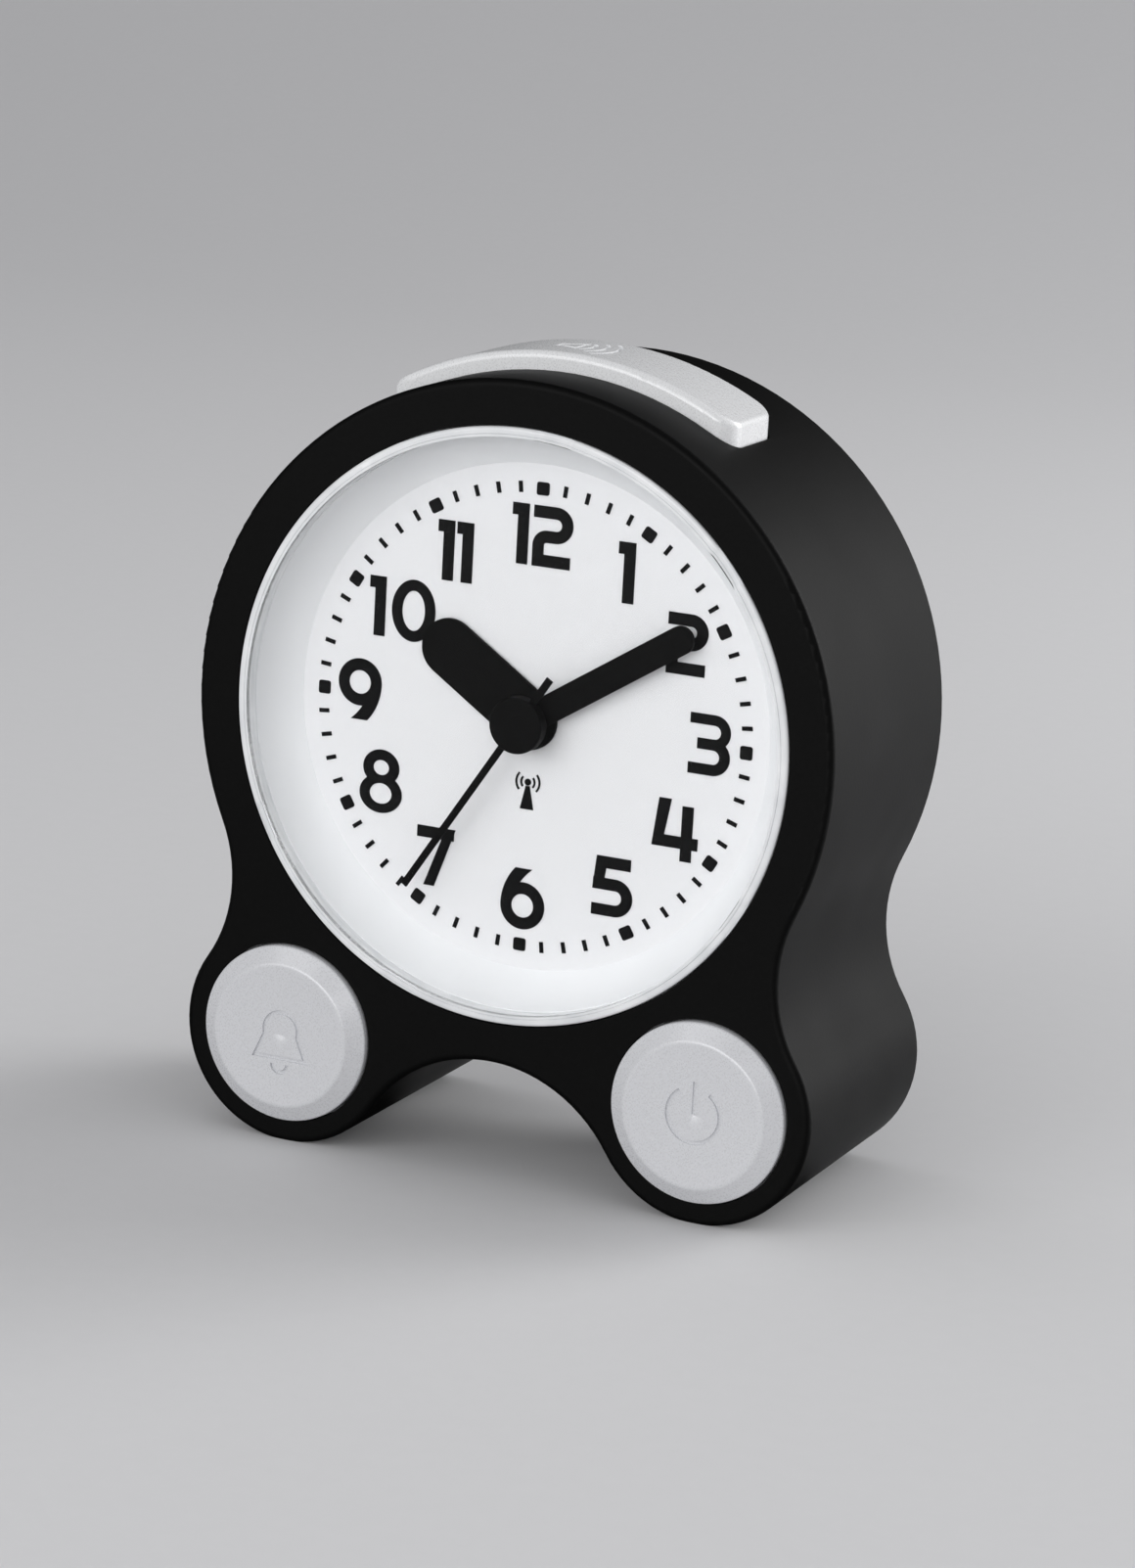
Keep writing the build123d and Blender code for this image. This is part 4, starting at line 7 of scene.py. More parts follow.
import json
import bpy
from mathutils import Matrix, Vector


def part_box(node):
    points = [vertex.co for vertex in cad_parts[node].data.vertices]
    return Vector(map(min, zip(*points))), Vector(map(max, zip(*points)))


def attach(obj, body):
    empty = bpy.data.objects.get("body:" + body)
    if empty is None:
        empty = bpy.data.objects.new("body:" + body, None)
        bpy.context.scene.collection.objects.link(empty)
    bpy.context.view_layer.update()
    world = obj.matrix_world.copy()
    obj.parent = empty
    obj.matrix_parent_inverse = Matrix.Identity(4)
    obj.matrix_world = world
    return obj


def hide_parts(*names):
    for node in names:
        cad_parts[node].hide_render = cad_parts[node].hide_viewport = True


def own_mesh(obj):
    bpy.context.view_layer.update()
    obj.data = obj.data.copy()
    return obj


bl_info = {
    "name": "Talking table clock",
    "version": (1, 0, 0),
    "blender": (4, 5, 0),
    "location": "View3D > Sidebar > Clock",
    "description": "Materials, small parts, light and camera for a talking table clock",
    "category": "Object",
}

from math import cos, pi, radians, sin, tau

import bmesh
import bpy
from bpy.props import FloatProperty, FloatVectorProperty, IntProperty, PointerProperty
from mathutils import Matrix, Vector

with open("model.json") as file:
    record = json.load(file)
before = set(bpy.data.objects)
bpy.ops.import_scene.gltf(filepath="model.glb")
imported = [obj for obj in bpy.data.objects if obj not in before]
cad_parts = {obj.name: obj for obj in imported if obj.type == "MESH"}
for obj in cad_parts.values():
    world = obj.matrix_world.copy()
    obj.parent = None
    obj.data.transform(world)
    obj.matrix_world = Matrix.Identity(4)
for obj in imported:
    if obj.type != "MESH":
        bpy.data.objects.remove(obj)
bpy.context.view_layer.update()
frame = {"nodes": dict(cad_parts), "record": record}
MM = 0.001


def box_of(name):
    """The lowest and highest corners of a CAD node, in millimetres."""
    low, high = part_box(name)
    return low / MM, high / MM


def middle_of(name):
    """The middle of a CAD node, in millimetres."""
    low, high = box_of(name)
    return (low + high) / 2


DIAL_Y = box_of("dial")[0].y
AXIS_Z = middle_of("dial").z
COVER_Y = box_of("rear_cover")[1].y
BOARD_Y = box_of("main_board")[1].y


def linear(code):
    """A hex sRGB colour as linear red, green, blue and an alpha of 1."""
    values = [int(code[i:i + 2], 16) / 255 for i in (1, 3, 5)]
    return [v / 12.92 if v <= 0.04045 else ((v + 0.055) / 1.055) ** 2.4 for v in values] + [1.0]


def colour(name, words, code):
    """A colour property whose default is a hex sRGB colour."""
    return FloatVectorProperty(name=name, description=words, subtype="COLOR", size=4, min=0.0, max=1.0,
                               default=linear(code))


def length(name, words, value):
    """A length property, given in millimetres and kept in metres."""
    return FloatProperty(name=name, description=words, default=value * MM, min=0.0, unit="LENGTH")


class ClockColours(bpy.types.PropertyGroup):
    """Colours of the clock's finishes."""

    case: colour("Case", "Black ABS of the front housing", "#0c0c0c")
    cover: colour("Cover", "Black ABS of the rear cover and the battery door", "#171718")
    silver: colour("Silver", "Silver-grey lacquer of the front buttons", "#dddee1")
    pearl: colour("Pearl", "Paler silver lacquer of the talk bar", "#f8f9fa")
    surround: colour("Surround", "Pale plastic between the lens and the dial", "#ecedef")
    dial: colour("Dial", "White lacquer of the dial", "#e5e5e7")
    ink: colour("Ink", "Black printing ink", "#0c0c0d")
    hands: colour("Hands", "Black lacquer of the hands", "#080808")
    rear_keys: colour("Rear keys", "Grey plastic of the rear buttons", "#626366")
    board: colour("Board", "Green solder mask", "#1d5a34")
    floor: colour("Floor", "Pale floor and backdrop", "#e0e0e1")


class ClockSizes(bpy.types.PropertyGroup):
    """Sizes that a user may change."""

    grain: length("Moulded grain", "Spacing of the fine grain moulded into the black plastic", 0.42)
    flake: length("Lacquer flake", "Size of the flakes in the silver lacquer", 0.16)
    weave: length("Grille weave", "Thread spacing of the cloth behind the speaker grille", 0.55)
    winding: length("Winding pitch", "Spacing of the aerial's turns", 0.5)
    lens_mm: FloatProperty(name="Camera lens", description="Focal length on a 36 mm sensor", default=103.4,
                           min=1.0, unit="CAMERA")
    segments: IntProperty(name="Round segments", description="Steps round a turned piece", default=96, min=12)


def settings():
    """The scene's colours and sizes."""
    return bpy.context.scene.clock_colours, bpy.context.scene.clock_sizes


# Materials

# The wave texture repeats after this length at a scale of 1
WAVE_PERIOD = 0.314


def node(mat, kind, inputs=(), **options):
    """Adds a node, sets its options, and sets or links its inputs."""
    made = mat.node_tree.nodes.new(kind)
    for key, value in options.items():
        setattr(made, key, value)
    for key, value in dict(inputs).items():
        if isinstance(value, bpy.types.NodeSocket):
            mat.node_tree.links.new(value, made.inputs[key])
        else:
            made.inputs[key].default_value = value
    return made


def start_material(name, base, **values):
    """A named material with its Principled shader and its object coordinates."""
    mat = bpy.data.materials.new(name)
    mat.use_nodes = True
    shader = mat.node_tree.nodes["Principled BSDF"]
    shader.inputs["Base Color"].default_value = base
    for key, value in values.items():
        shader.inputs[key.replace("_", " ")].default_value = value
    place = node(mat, "ShaderNodeTexCoord").outputs["Object"]
    return mat, shader, place


def join(mat, output, shader, socket):
    """Links an output to one of the shader's sockets."""
    mat.node_tree.links.new(output, shader.inputs[socket])


def noise(mat, place, spacing, detail=2.0, stretch=None):
    """Noise whose lumps are about spacing metres apart, as a value from 0 to 1."""
    if stretch is not None:
        place = node(mat, "ShaderNodeMapping", {"Vector": place, "Scale": stretch}).outputs["Vector"]
    made = node(mat, "ShaderNodeTexNoise", {"Vector": place, "Scale": 1.0 / spacing, "Detail": detail})
    return made.outputs["Fac"]


def spread(mat, value, low, high):
    """Maps a 0 to 1 value to a range."""
    return node(mat, "ShaderNodeMapRange", {"Value": value, "To Min": low, "To Max": high}).outputs["Result"]


def ridges(mat, place, spacing, direction):
    """Straight round ridges that lie spacing metres apart, as a value from 0 to 1."""
    made = node(mat, "ShaderNodeTexWave", {"Vector": place, "Scale": WAVE_PERIOD / spacing},
                bands_direction=direction)
    return made.outputs["Fac"]


def shades(mat, value, dark, light, first=0.3, last=0.7):
    """A colour ramp between two colours."""
    ramp = node(mat, "ShaderNodeValToRGB", {"Fac": value})
    ramp.color_ramp.elements[0].position = first
    ramp.color_ramp.elements[0].color = dark
    ramp.color_ramp.elements[1].position = last
    ramp.color_ramp.elements[1].color = light
    return ramp.outputs["Color"]


def dent(mat, height, shader, distance, strength=1.0):
    """Bumps the shader's normal by a height, distance metres deep."""
    bump = node(mat, "ShaderNodeBump", {"Height": height, "Distance": distance, "Strength": strength})
    join(mat, bump.outputs["Normal"], shader, "Normal")


def tint(base, factor):
    """A colour made darker or lighter."""
    return [min(1.0, channel * factor) for channel in base[:3]] + [1.0]


def mirrored(mat):
    """1 for rays that mirror what the camera sees, 0 for straight rays and for light on matt faces."""
    path = node(mat, "ShaderNodeLightPath").outputs
    rays = node(mat, "ShaderNodeMath", {0: path["Is Glossy Ray"], 1: path["Diffuse Depth"]},
                operation="SUBTRACT", use_clamp=True)
    return rays.outputs["Value"]


def moulded_black_abs(name, base, roughness, grain, depth, specular):
    """Injection-moulded ABS: an even black whose fine spark-eroded grain softens the highlights."""
    mat, shader, place = start_material(name, base, Roughness=roughness, IOR=1.53)
    shader.inputs["Specular IOR Level"].default_value = specular
    fine = noise(mat, place, grain, detail=3.0)
    broad = noise(mat, place, 14 * MM, detail=1.0)
    join(mat, spread(mat, broad, roughness - 0.05, roughness + 0.05), shader, "Roughness")
    join(mat, shades(mat, fine, tint(base, 0.88), tint(base, 1.14)), shader, "Base Color")
    dent(mat, fine, shader, depth)
    return mat


def clear_acrylic():
    """Moulded acrylic: clear, with hard reflections and a faint moulding haze. It casts no shadow."""
    mat, shader, place = start_material("moulded_clear_acrylic", linear("#ffffff"), Roughness=0.02, IOR=1.49)
    shader.inputs["Transmission Weight"].default_value = 1.0
    haze = noise(mat, place, 9 * MM, detail=1.0)
    join(mat, spread(mat, haze, 0.0, 0.035), shader, "Roughness")
    through = node(mat, "ShaderNodeBsdfTransparent", {"Color": (0.97, 0.98, 0.98, 1.0)})
    path = node(mat, "ShaderNodeLightPath")
    mix = node(mat, "ShaderNodeMixShader", {0: path.outputs["Is Shadow Ray"], 1: shader.outputs["BSDF"],
                                            2: through.outputs["BSDF"]})
    output = mat.node_tree.nodes["Material Output"]
    mat.node_tree.links.new(mix.outputs["Shader"], output.inputs["Surface"])
    return mat


def edge_lit_acrylic():
    """Acrylic seen edge on over white plastic: milky, with a polished skin that catches thin bright lines."""
    mat, shader, place = start_material("polished_acrylic_edge", linear("#eceef0"), Roughness=0.2, IOR=1.49)
    streaks = noise(mat, place, 5.0 * MM, detail=2.0, stretch=(1.0, 8.0, 1.0))
    join(mat, shades(mat, streaks, linear("#e2e4e6"), linear("#f4f5f6")), shader, "Base Color")
    join(mat, spread(mat, streaks, 0.14, 0.28), shader, "Roughness")
    return mat


def matt_polystyrene(name, base, roughness=0.55):
    """Moulded polystyrene: pale and matt, with the faint flow marks of moulding."""
    mat, shader, place = start_material(name, base, Roughness=roughness, IOR=1.59)
    flow = noise(mat, place, 18 * MM, detail=2.0, stretch=(1.0, 1.0, 0.4))
    fine = noise(mat, place, 0.5 * MM, detail=2.0)
    join(mat, shades(mat, flow, tint(base, 0.97), tint(base, 1.02)), shader, "Base Color")
    join(mat, spread(mat, flow, roughness - 0.06, roughness + 0.06), shader, "Roughness")
    dent(mat, fine, shader, 0.01 * MM)
    return mat


def lacquered_sheet(name, base, roughness, specular=0.5):
    """Sheet metal under sprayed lacquer: even colour with the slight orange peel of a sprayed coat."""
    mat, shader, place = start_material(name, base, Roughness=roughness, IOR=1.5)
    shader.inputs["Specular IOR Level"].default_value = specular
    peel = noise(mat, place, 1.3 * MM, detail=0.0)
    speck = noise(mat, place, 0.3 * MM, detail=2.0)
    join(mat, shades(mat, speck, tint(base, 0.985), tint(base, 1.015)), shader, "Base Color")
    join(mat, spread(mat, peel, roughness - 0.05, roughness + 0.05), shader, "Roughness")
    dent(mat, peel, shader, 0.003 * MM)
    return mat


def screen_ink(base):
    """Screen-printed ink: dense and slightly satin, with the mesh's grain at its surface."""
    mat, shader, place = start_material("screen_printed_ink", base, Roughness=0.45, IOR=1.5)
    shader.inputs["Specular IOR Level"].default_value = 0.08
    mesh = noise(mat, place, 0.22 * MM, detail=2.0)
    join(mat, shades(mat, mesh, tint(base, 0.85), tint(base, 1.3)), shader, "Base Color")
    join(mat, spread(mat, mesh, 0.4, 0.52), shader, "Roughness")
    dent(mat, mesh, shader, 0.006 * MM)
    return mat


def pad_printed_ink():
    """Pad-printed ink on raised signs: pale grey and dull, thin enough for the plastic's grain to show."""
    mat, shader, place = start_material("pad_printed_ink", linear("#a9aaac"), Roughness=0.6, IOR=1.5)
    grain = noise(mat, place, 0.3 * MM, detail=2.0)
    join(mat, shades(mat, grain, linear("#97989a"), linear("#b4b5b7")), shader, "Base Color")
    dent(mat, grain, shader, 0.015 * MM)
    return mat


def silver_lacquered_abs(name, base, flake):
    """ABS under silver-grey lacquer: fine metal flakes that glint a little inside a satin coat."""
    mat, shader, place = start_material(name, base, Roughness=0.28, IOR=1.5, Metallic=0.08)
    cells = node(mat, "ShaderNodeTexVoronoi", {"Vector": place, "Scale": 1.0 / flake}).outputs["Color"]
    grey = node(mat, "ShaderNodeRGBToBW", {"Color": cells}).outputs["Val"]
    join(mat, shades(mat, grey, tint(base, 0.965), tint(base, 1.03), 0.2, 0.8), shader, "Base Color")
    join(mat, spread(mat, grey, 0.25, 0.33), shader, "Roughness")
    dent(mat, noise(mat, place, 1.6 * MM, detail=1.0), shader, 0.01 * MM)
    return mat


def plated_steel(name, code, roughness, spacing):
    """Plated steel: a bright metal clouded by its bath, with faint drawing or stamping marks."""
    mat, shader, place = start_material(name, linear(code), Metallic=1.0, Roughness=roughness)
    cloud = noise(mat, place, spacing, detail=3.0)
    marks = noise(mat, place, 0.12 * MM, detail=2.0, stretch=(1.0, 1.0, 6.0))
    join(mat, shades(mat, cloud, tint(linear(code), 0.86), tint(linear(code), 1.05)), shader, "Base Color")
    join(mat, spread(mat, cloud, roughness - 0.08, roughness + 0.1), shader, "Roughness")
    dent(mat, marks, shader, 0.004 * MM)
    return mat


def fired_ferrite(name, code="#2b2b2e"):
    """Fired ferrite: a dense ceramic grey with a dry, slightly pitted skin."""
    mat, shader, place = start_material(name, linear(code), Roughness=0.6, IOR=1.8)
    pits = noise(mat, place, 0.5 * MM, detail=4.0)
    join(mat, shades(mat, pits, tint(linear(code), 0.7), tint(linear(code), 1.25)), shader, "Base Color")
    join(mat, spread(mat, pits, 0.5, 0.75), shader, "Roughness")
    dent(mat, pits, shader, 0.02 * MM)
    return mat


def enamelled_copper():
    """Enamelled copper wire: warm metal under clear enamel, with painted shade between the turns."""
    mat, shader, place = start_material("enamelled_copper_wire", linear("#b0642f"), Metallic=0.85,
                                        Roughness=0.28)
    shader.inputs["Coat Weight"].default_value = 0.4
    turns = ridges(mat, place, 0.3 * MM, "X")
    # The dark end of this ramp is painted shade in the grooves between the turns
    join(mat, shades(mat, turns, linear("#5e2d12"), linear("#c9763a"), 0.1, 0.7), shader, "Base Color")
    join(mat, spread(mat, noise(mat, place, 1.5 * MM), 0.22, 0.36), shader, "Roughness")
    dent(mat, turns, shader, 0.04 * MM)
    return mat


def solder_mask(base):
    """Glass-epoxy board under green solder mask: copper tracks show as lighter, raised lines."""
    mat, shader, place = start_material("glass_epoxy_solder_mask", base, Roughness=0.32, IOR=1.55)
    tracks = node(mat, "ShaderNodeTexBrick", {"Vector": node(mat, "ShaderNodeMapping", {
        "Vector": place, "Rotation": (radians(90), 0, 0)}).outputs["Vector"],
        "Scale": 1.0 / (3.1 * MM), "Mortar Size": 0.07, "Color1": base, "Color2": tint(base, 0.92),
        "Mortar": tint(base, 1.75)}, offset=0.37, squash=1.6, squash_frequency=3)
    join(mat, tracks.outputs["Color"], shader, "Base Color")
    join(mat, spread(mat, noise(mat, place, 2.0 * MM), 0.26, 0.4), shader, "Roughness")
    dent(mat, tracks.outputs["Fac"], shader, 0.035 * MM)
    return mat


def moulded_resin(name, base, roughness):
    """Transfer-moulded resin or nylon: dull and dense, with a fine sandy skin."""
    mat, shader, place = start_material(name, base, Roughness=roughness, IOR=1.55)
    sand = noise(mat, place, 0.25 * MM, detail=3.0)
    join(mat, shades(mat, sand, tint(base, 0.8), tint(base, 1.2)), shader, "Base Color")
    join(mat, spread(mat, sand, roughness - 0.08, roughness + 0.08), shader, "Roughness")
    dent(mat, sand, shader, 0.01 * MM)
    return mat


def pressed_paper():
    """Pressed paper pulp: black, fibrous and dull, as speaker cones are."""
    mat, shader, place = start_material("pressed_paper_pulp", linear("#1b1b1c"), Roughness=0.85)
    fibre = noise(mat, place, 0.35 * MM, detail=5.0, stretch=(1.0, 1.0, 3.0))
    join(mat, shades(mat, fibre, linear("#111112"), linear("#2c2c2e")), shader, "Base Color")
    join(mat, spread(mat, fibre, 0.75, 0.95), shader, "Roughness")
    dent(mat, fibre, shader, 0.05 * MM)
    return mat


def woven_nylon(weave):
    """Woven nylon dust cloth: fine black threads crossing at right angles, open between them, with painted
    shade there.
    """
    mat, shader, place = start_material("woven_nylon_cloth", linear("#202022"), Roughness=0.8)
    warp, weft = ridges(mat, place, weave, "X"), ridges(mat, place, weave, "Z")
    height = node(mat, "ShaderNodeMath", {0: warp, 1: weft}, operation="MULTIPLY").outputs["Value"]
    # Painted shade darkens the gaps between the threads and a painted highlight lightens their crossings
    join(mat, shades(mat, height, linear("#0b0b0c"), linear("#303033"), 0.05, 0.6), shader, "Base Color")
    join(mat, spread(mat, height, 0.9, 0.65), shader, "Roughness")
    dent(mat, height, shader, 0.08 * MM)
    return mat


def make_materials():
    """Makes every material, by the name that the record or a new piece calls it."""
    colours, sizes = settings()
    case, cover = list(colours.case), list(colours.cover)
    return {
        "black_case": moulded_black_abs("moulded_black_abs", case, roughness=0.54, grain=sizes.grain,
                                        depth=0.012 * MM, specular=0.12),
        "black_cover": moulded_black_abs("spark_eroded_black_abs", cover, roughness=0.5,
                                         grain=sizes.grain * 1.4, depth=0.035 * MM, specular=0.4),
        "clear_lens": clear_acrylic(),
        "white_surround": matt_polystyrene("matt_polystyrene", list(colours.surround)),
        "white_dial": lacquered_sheet("white_lacquered_aluminium", list(colours.dial), 0.55, 0.3),
        "black_print": screen_ink(list(colours.ink)),
        "black_hand": lacquered_sheet("black_lacquered_aluminium", list(colours.hands), 0.6, 0.06),
        "white_frame": matt_polystyrene("moulded_white_polystyrene", linear("#d9d8d2"), 0.45),
        "clear_cover": matt_polystyrene("frosted_styrene", linear("#c3c8ca"), 0.35),
        "screw_steel": plated_steel("zinc_plated_steel", "#b9bbbd", 0.32, 2.0 * MM),
        "gear_plastic": moulded_resin("moulded_acetal", linear("#dedbd0"), 0.35),
        "rotor_ferrite": fired_ferrite("moulded_magnet"),
        "stator_steel": plated_steel("stamped_soft_iron", "#8d8f91", 0.42, 4.0 * MM),
        "coil_copper": enamelled_copper(),
        "ferrite": fired_ferrite("fired_ferrite"),
        "silver_bar": silver_lacquered_abs("pearl_lacquered_abs", list(colours.pearl), sizes.flake),
        "silver_button": silver_lacquered_abs("silver_lacquered_abs", list(colours.silver), sizes.flake),
        "spring_steel": plated_steel("drawn_spring_steel", "#c2c3c4", 0.25, 1.5 * MM),
        "contact_nickel": plated_steel("nickel_plated_strip", "#cfcac0", 0.22, 3.0 * MM),
        "circuit_board": solder_mask(list(colours.board)),
        "switch_body": moulded_resin("moulded_nylon", linear("#1c1c1d"), 0.45),
        "switch_metal": plated_steel("tinned_sheet_steel", "#aeb0b1", 0.35, 3.0 * MM),
        "chip_resin": moulded_resin("moulded_epoxy", linear("#1e1e20"), 0.55),
        "crystal_can": plated_steel("drawn_nickel_can", "#c6c7c8", 0.2, 2.0 * MM),
        "capacitor_sleeve": moulded_resin("shrunk_vinyl_sleeve", linear("#20283f"), 0.3),
        "speaker_steel": plated_steel("pressed_galvanised_steel", "#a9abad", 0.38, 5.0 * MM),
        "paper_cone": pressed_paper(),
        "magnet_ferrite": fired_ferrite("pressed_ferrite_ring", "#35353a"),
        "cell_jacket": moulded_resin("printed_film_jacket", linear("#3d4a5c"), 0.3),
        "grey_button": moulded_resin("moulded_grey_abs", list(colours.rear_keys), 0.42),
        "lead_insulation": moulded_resin("extruded_vinyl", linear("#8a2420"), 0.4),
        "milky_rim": edge_lit_acrylic(),
        "woven_cloth": woven_nylon(sizes.weave),
        "waxed_paper": matt_polystyrene("waxed_paper_tape", linear("#cfc3a0"), 0.6),
        "drawn_can": plated_steel("nickel_plated_can", "#c9c8c4", 0.24, 5.0 * MM),
        "pale_film": moulded_resin("printed_pale_film", linear("#c9c6bd"), 0.3),
        "grey_ink": pad_printed_ink(),
        "tinned_copper": plated_steel("tinned_copper", "#c8c9c8", 0.3, 1.0 * MM),
    }


KINDS = {}


def dress(obj, kind):
    """Gives an object one of the clock's materials."""
    obj.data.materials.clear()
    obj.data.materials.append(KINDS[kind])


# Shapes

# Millimetres within which doubled points are merged, and the angle in degrees that stays a sharp edge
MERGE_DISTANCE = 0.0005
CREASE_ANGLE = 35


def finished(mesh, name, kind, body, smooth=True):
    """Turns a bmesh drawn in millimetres into a piece that rides on a body."""
    bmesh.ops.remove_doubles(mesh, verts=mesh.verts, dist=MERGE_DISTANCE)
    bmesh.ops.recalc_face_normals(mesh, faces=mesh.faces)
    bmesh.ops.scale(mesh, verts=mesh.verts, vec=(MM, MM, MM))
    data = bpy.data.meshes.new(name)
    mesh.to_mesh(data)
    mesh.free()
    obj = bpy.data.objects.new(name, data)
    bpy.context.scene.collection.objects.link(obj)
    if smooth:
        data.shade_smooth()
        data.set_sharp_from_angle(angle=radians(CREASE_ANGLE))
    dress(obj, kind)
    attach(obj, body)
    return obj


def turned(mesh, profile, centre, axis="Y", closed=False, finer=1):
    """Spins a profile of (radius, place along the axis) points round an axis through centre."""
    along = {"X": Vector((1, 0, 0)), "Y": Vector((0, 1, 0))}[axis]
    across = Vector((0, 0, 1))
    foot = Vector(centre) - along * Vector(centre).dot(along)
    verts = [mesh.verts.new(foot + across * r + along * p) for r, p in profile]
    edges = [mesh.edges.new((a, b)) for a, b in zip(verts, verts[1:])]
    if closed:
        edges.append(mesh.edges.new((verts[-1], verts[0])))
    bmesh.ops.spin(mesh, geom=verts + edges, cent=Vector(centre), axis=along, angle=tau,
                   steps=settings()[1].segments * finer, use_merge=True)


def edges_at(verts):
    """The edges that meet at these points, each once and always in the same order."""
    return list(dict.fromkeys(edge for vert in verts for edge in vert.link_edges))


def block(mesh, low, high, bevel=0.0):
    """A box between two corners, with its edges bevelled."""
    size = Vector(high) - Vector(low)
    middle = (Vector(high) + Vector(low)) / 2
    place = Matrix.Translation(middle) @ Matrix.Diagonal((*size, 1.0))
    made = bmesh.ops.create_cube(mesh, size=1.0, matrix=place)
    if bevel:
        bmesh.ops.bevel(mesh, geom=edges_at(made["verts"]), offset=bevel, segments=2, affect="EDGES",
                        profile=0.5, material=-1)


def drawn(mesh, outline, y, depth):
    """A flat outline of (x, z) points at depth y, raised towards the rear by depth."""
    verts = [mesh.verts.new((x, y, z)) for x, z in outline]
    edges = [mesh.edges.new(pair) for pair in zip(verts, verts[1:] + verts[:1])]
    faces = bmesh.ops.contextual_create(mesh, geom=edges)["faces"]
    raised = bmesh.ops.extrude_face_region(mesh, geom=faces)["geom"]
    top = [item for item in raised if isinstance(item, bmesh.types.BMVert)]
    bmesh.ops.translate(mesh, verts=top, vec=(0, depth, 0))


def arc(middle, radius, first, last, steps):
    """Points on an arc between two degrees."""
    turns = [radians(first + (last - first) * i / steps) for i in range(steps + 1)]
    return [(middle[0] + radius * cos(a), middle[1] + radius * sin(a)) for a in turns]


def ring_sign(mesh, middle, radius, pen, y, depth):
    """A raised ring, drawn as two halves with a pen of one width."""
    steps = 24
    for first in (0, 180):
        outside = arc(middle, radius + pen / 2, first, first + 180, steps)
        inside = arc(middle, radius - pen / 2, first + 180, first, steps)
        drawn(mesh, outside + inside, y, depth)


def bar_sign(mesh, start, end, pen, y, depth):
    """A raised straight stroke with square ends."""
    way = Vector(end) - Vector(start)
    side = Vector((-way.y, way.x)).normalized() * pen / 2
    drawn(mesh, [tuple(Vector(p) + s) for p, s in ((start, side), (start, -side), (end, -side), (end, side))],
          y, depth)


class CLOCK_OT_finishes(bpy.types.Operator):
    """Gives every CAD node its material"""

    bl_idname = "clock.finishes"
    bl_label = "Finishes"

    def execute(self, context):
        KINDS.update(make_materials())
        slots = {part["node"]: part["material_slot"] for part in frame["record"]["subparts"]}
        for name, obj in frame["nodes"].items():
            dress(obj, slots[name])
        return {"FINISHED"}


class CLOCK_OT_lens(bpy.types.Operator):
    """Makes the lens: a clear disc, and the milky ring that its edge shows over the white plastic"""

    bl_idname = "clock.lens"
    bl_label = "Lens"

    sheet, skirt, rim_round, round_steps = 1.2, 1.3, 0.5, 6
    line_in, line_half, line_depth = 0.36, 0.06, 0.14
    notch_angles, notch_width, notch_sink = (83.5, 41.0, -31.0, -111.0, -153.5, 120.0), 5.2, 0.3

    def execute(self, context):
        low, high = box_of("lens")
        centre = middle_of("lens")
        outer = (high.x - low.x) / 2
        inner = outer - self.skirt
        mesh = bmesh.new()
        back_y = low.y + self.sheet
        turned(mesh, [(0, low.y), (inner, low.y), (inner, back_y), (0, back_y)], centre, finer=3)
        disc = finished(mesh, "lens_disc", "clear_lens", "case")
        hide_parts("lens")

        line = inner + self.line_in
        rim = [(inner, low.y), (line - self.line_half, low.y), (line, low.y + self.line_depth),
               (line + self.line_half, low.y)]
        for i in range(self.round_steps + 1):
            turn = pi / 2 * i / self.round_steps
            rim.append((outer - self.rim_round * (1 - sin(turn)), low.y + self.rim_round * (1 - cos(turn))))
        rim += [(outer, high.y), (inner, high.y)]
        mesh = bmesh.new()
        turned(mesh, rim, centre, closed=True, finer=3)
        for angle in self.notch_angles:
            way = Vector((cos(radians(angle)), 0, sin(radians(angle))))
            near = []
            for vert in mesh.verts:
                arm = vert.co - centre
                wide = abs(arm.cross(way).y) < self.notch_width / 2
                if wide and arm.dot(way) > 0 and vert.co.y < low.y + 2 * self.line_depth:
                    near.append(vert)
            bmesh.ops.translate(mesh, verts=near, vec=(0, self.notch_sink, 0))
        finished(mesh, "lens_rim", "milky_rim", "case")
        return {"FINISHED"}


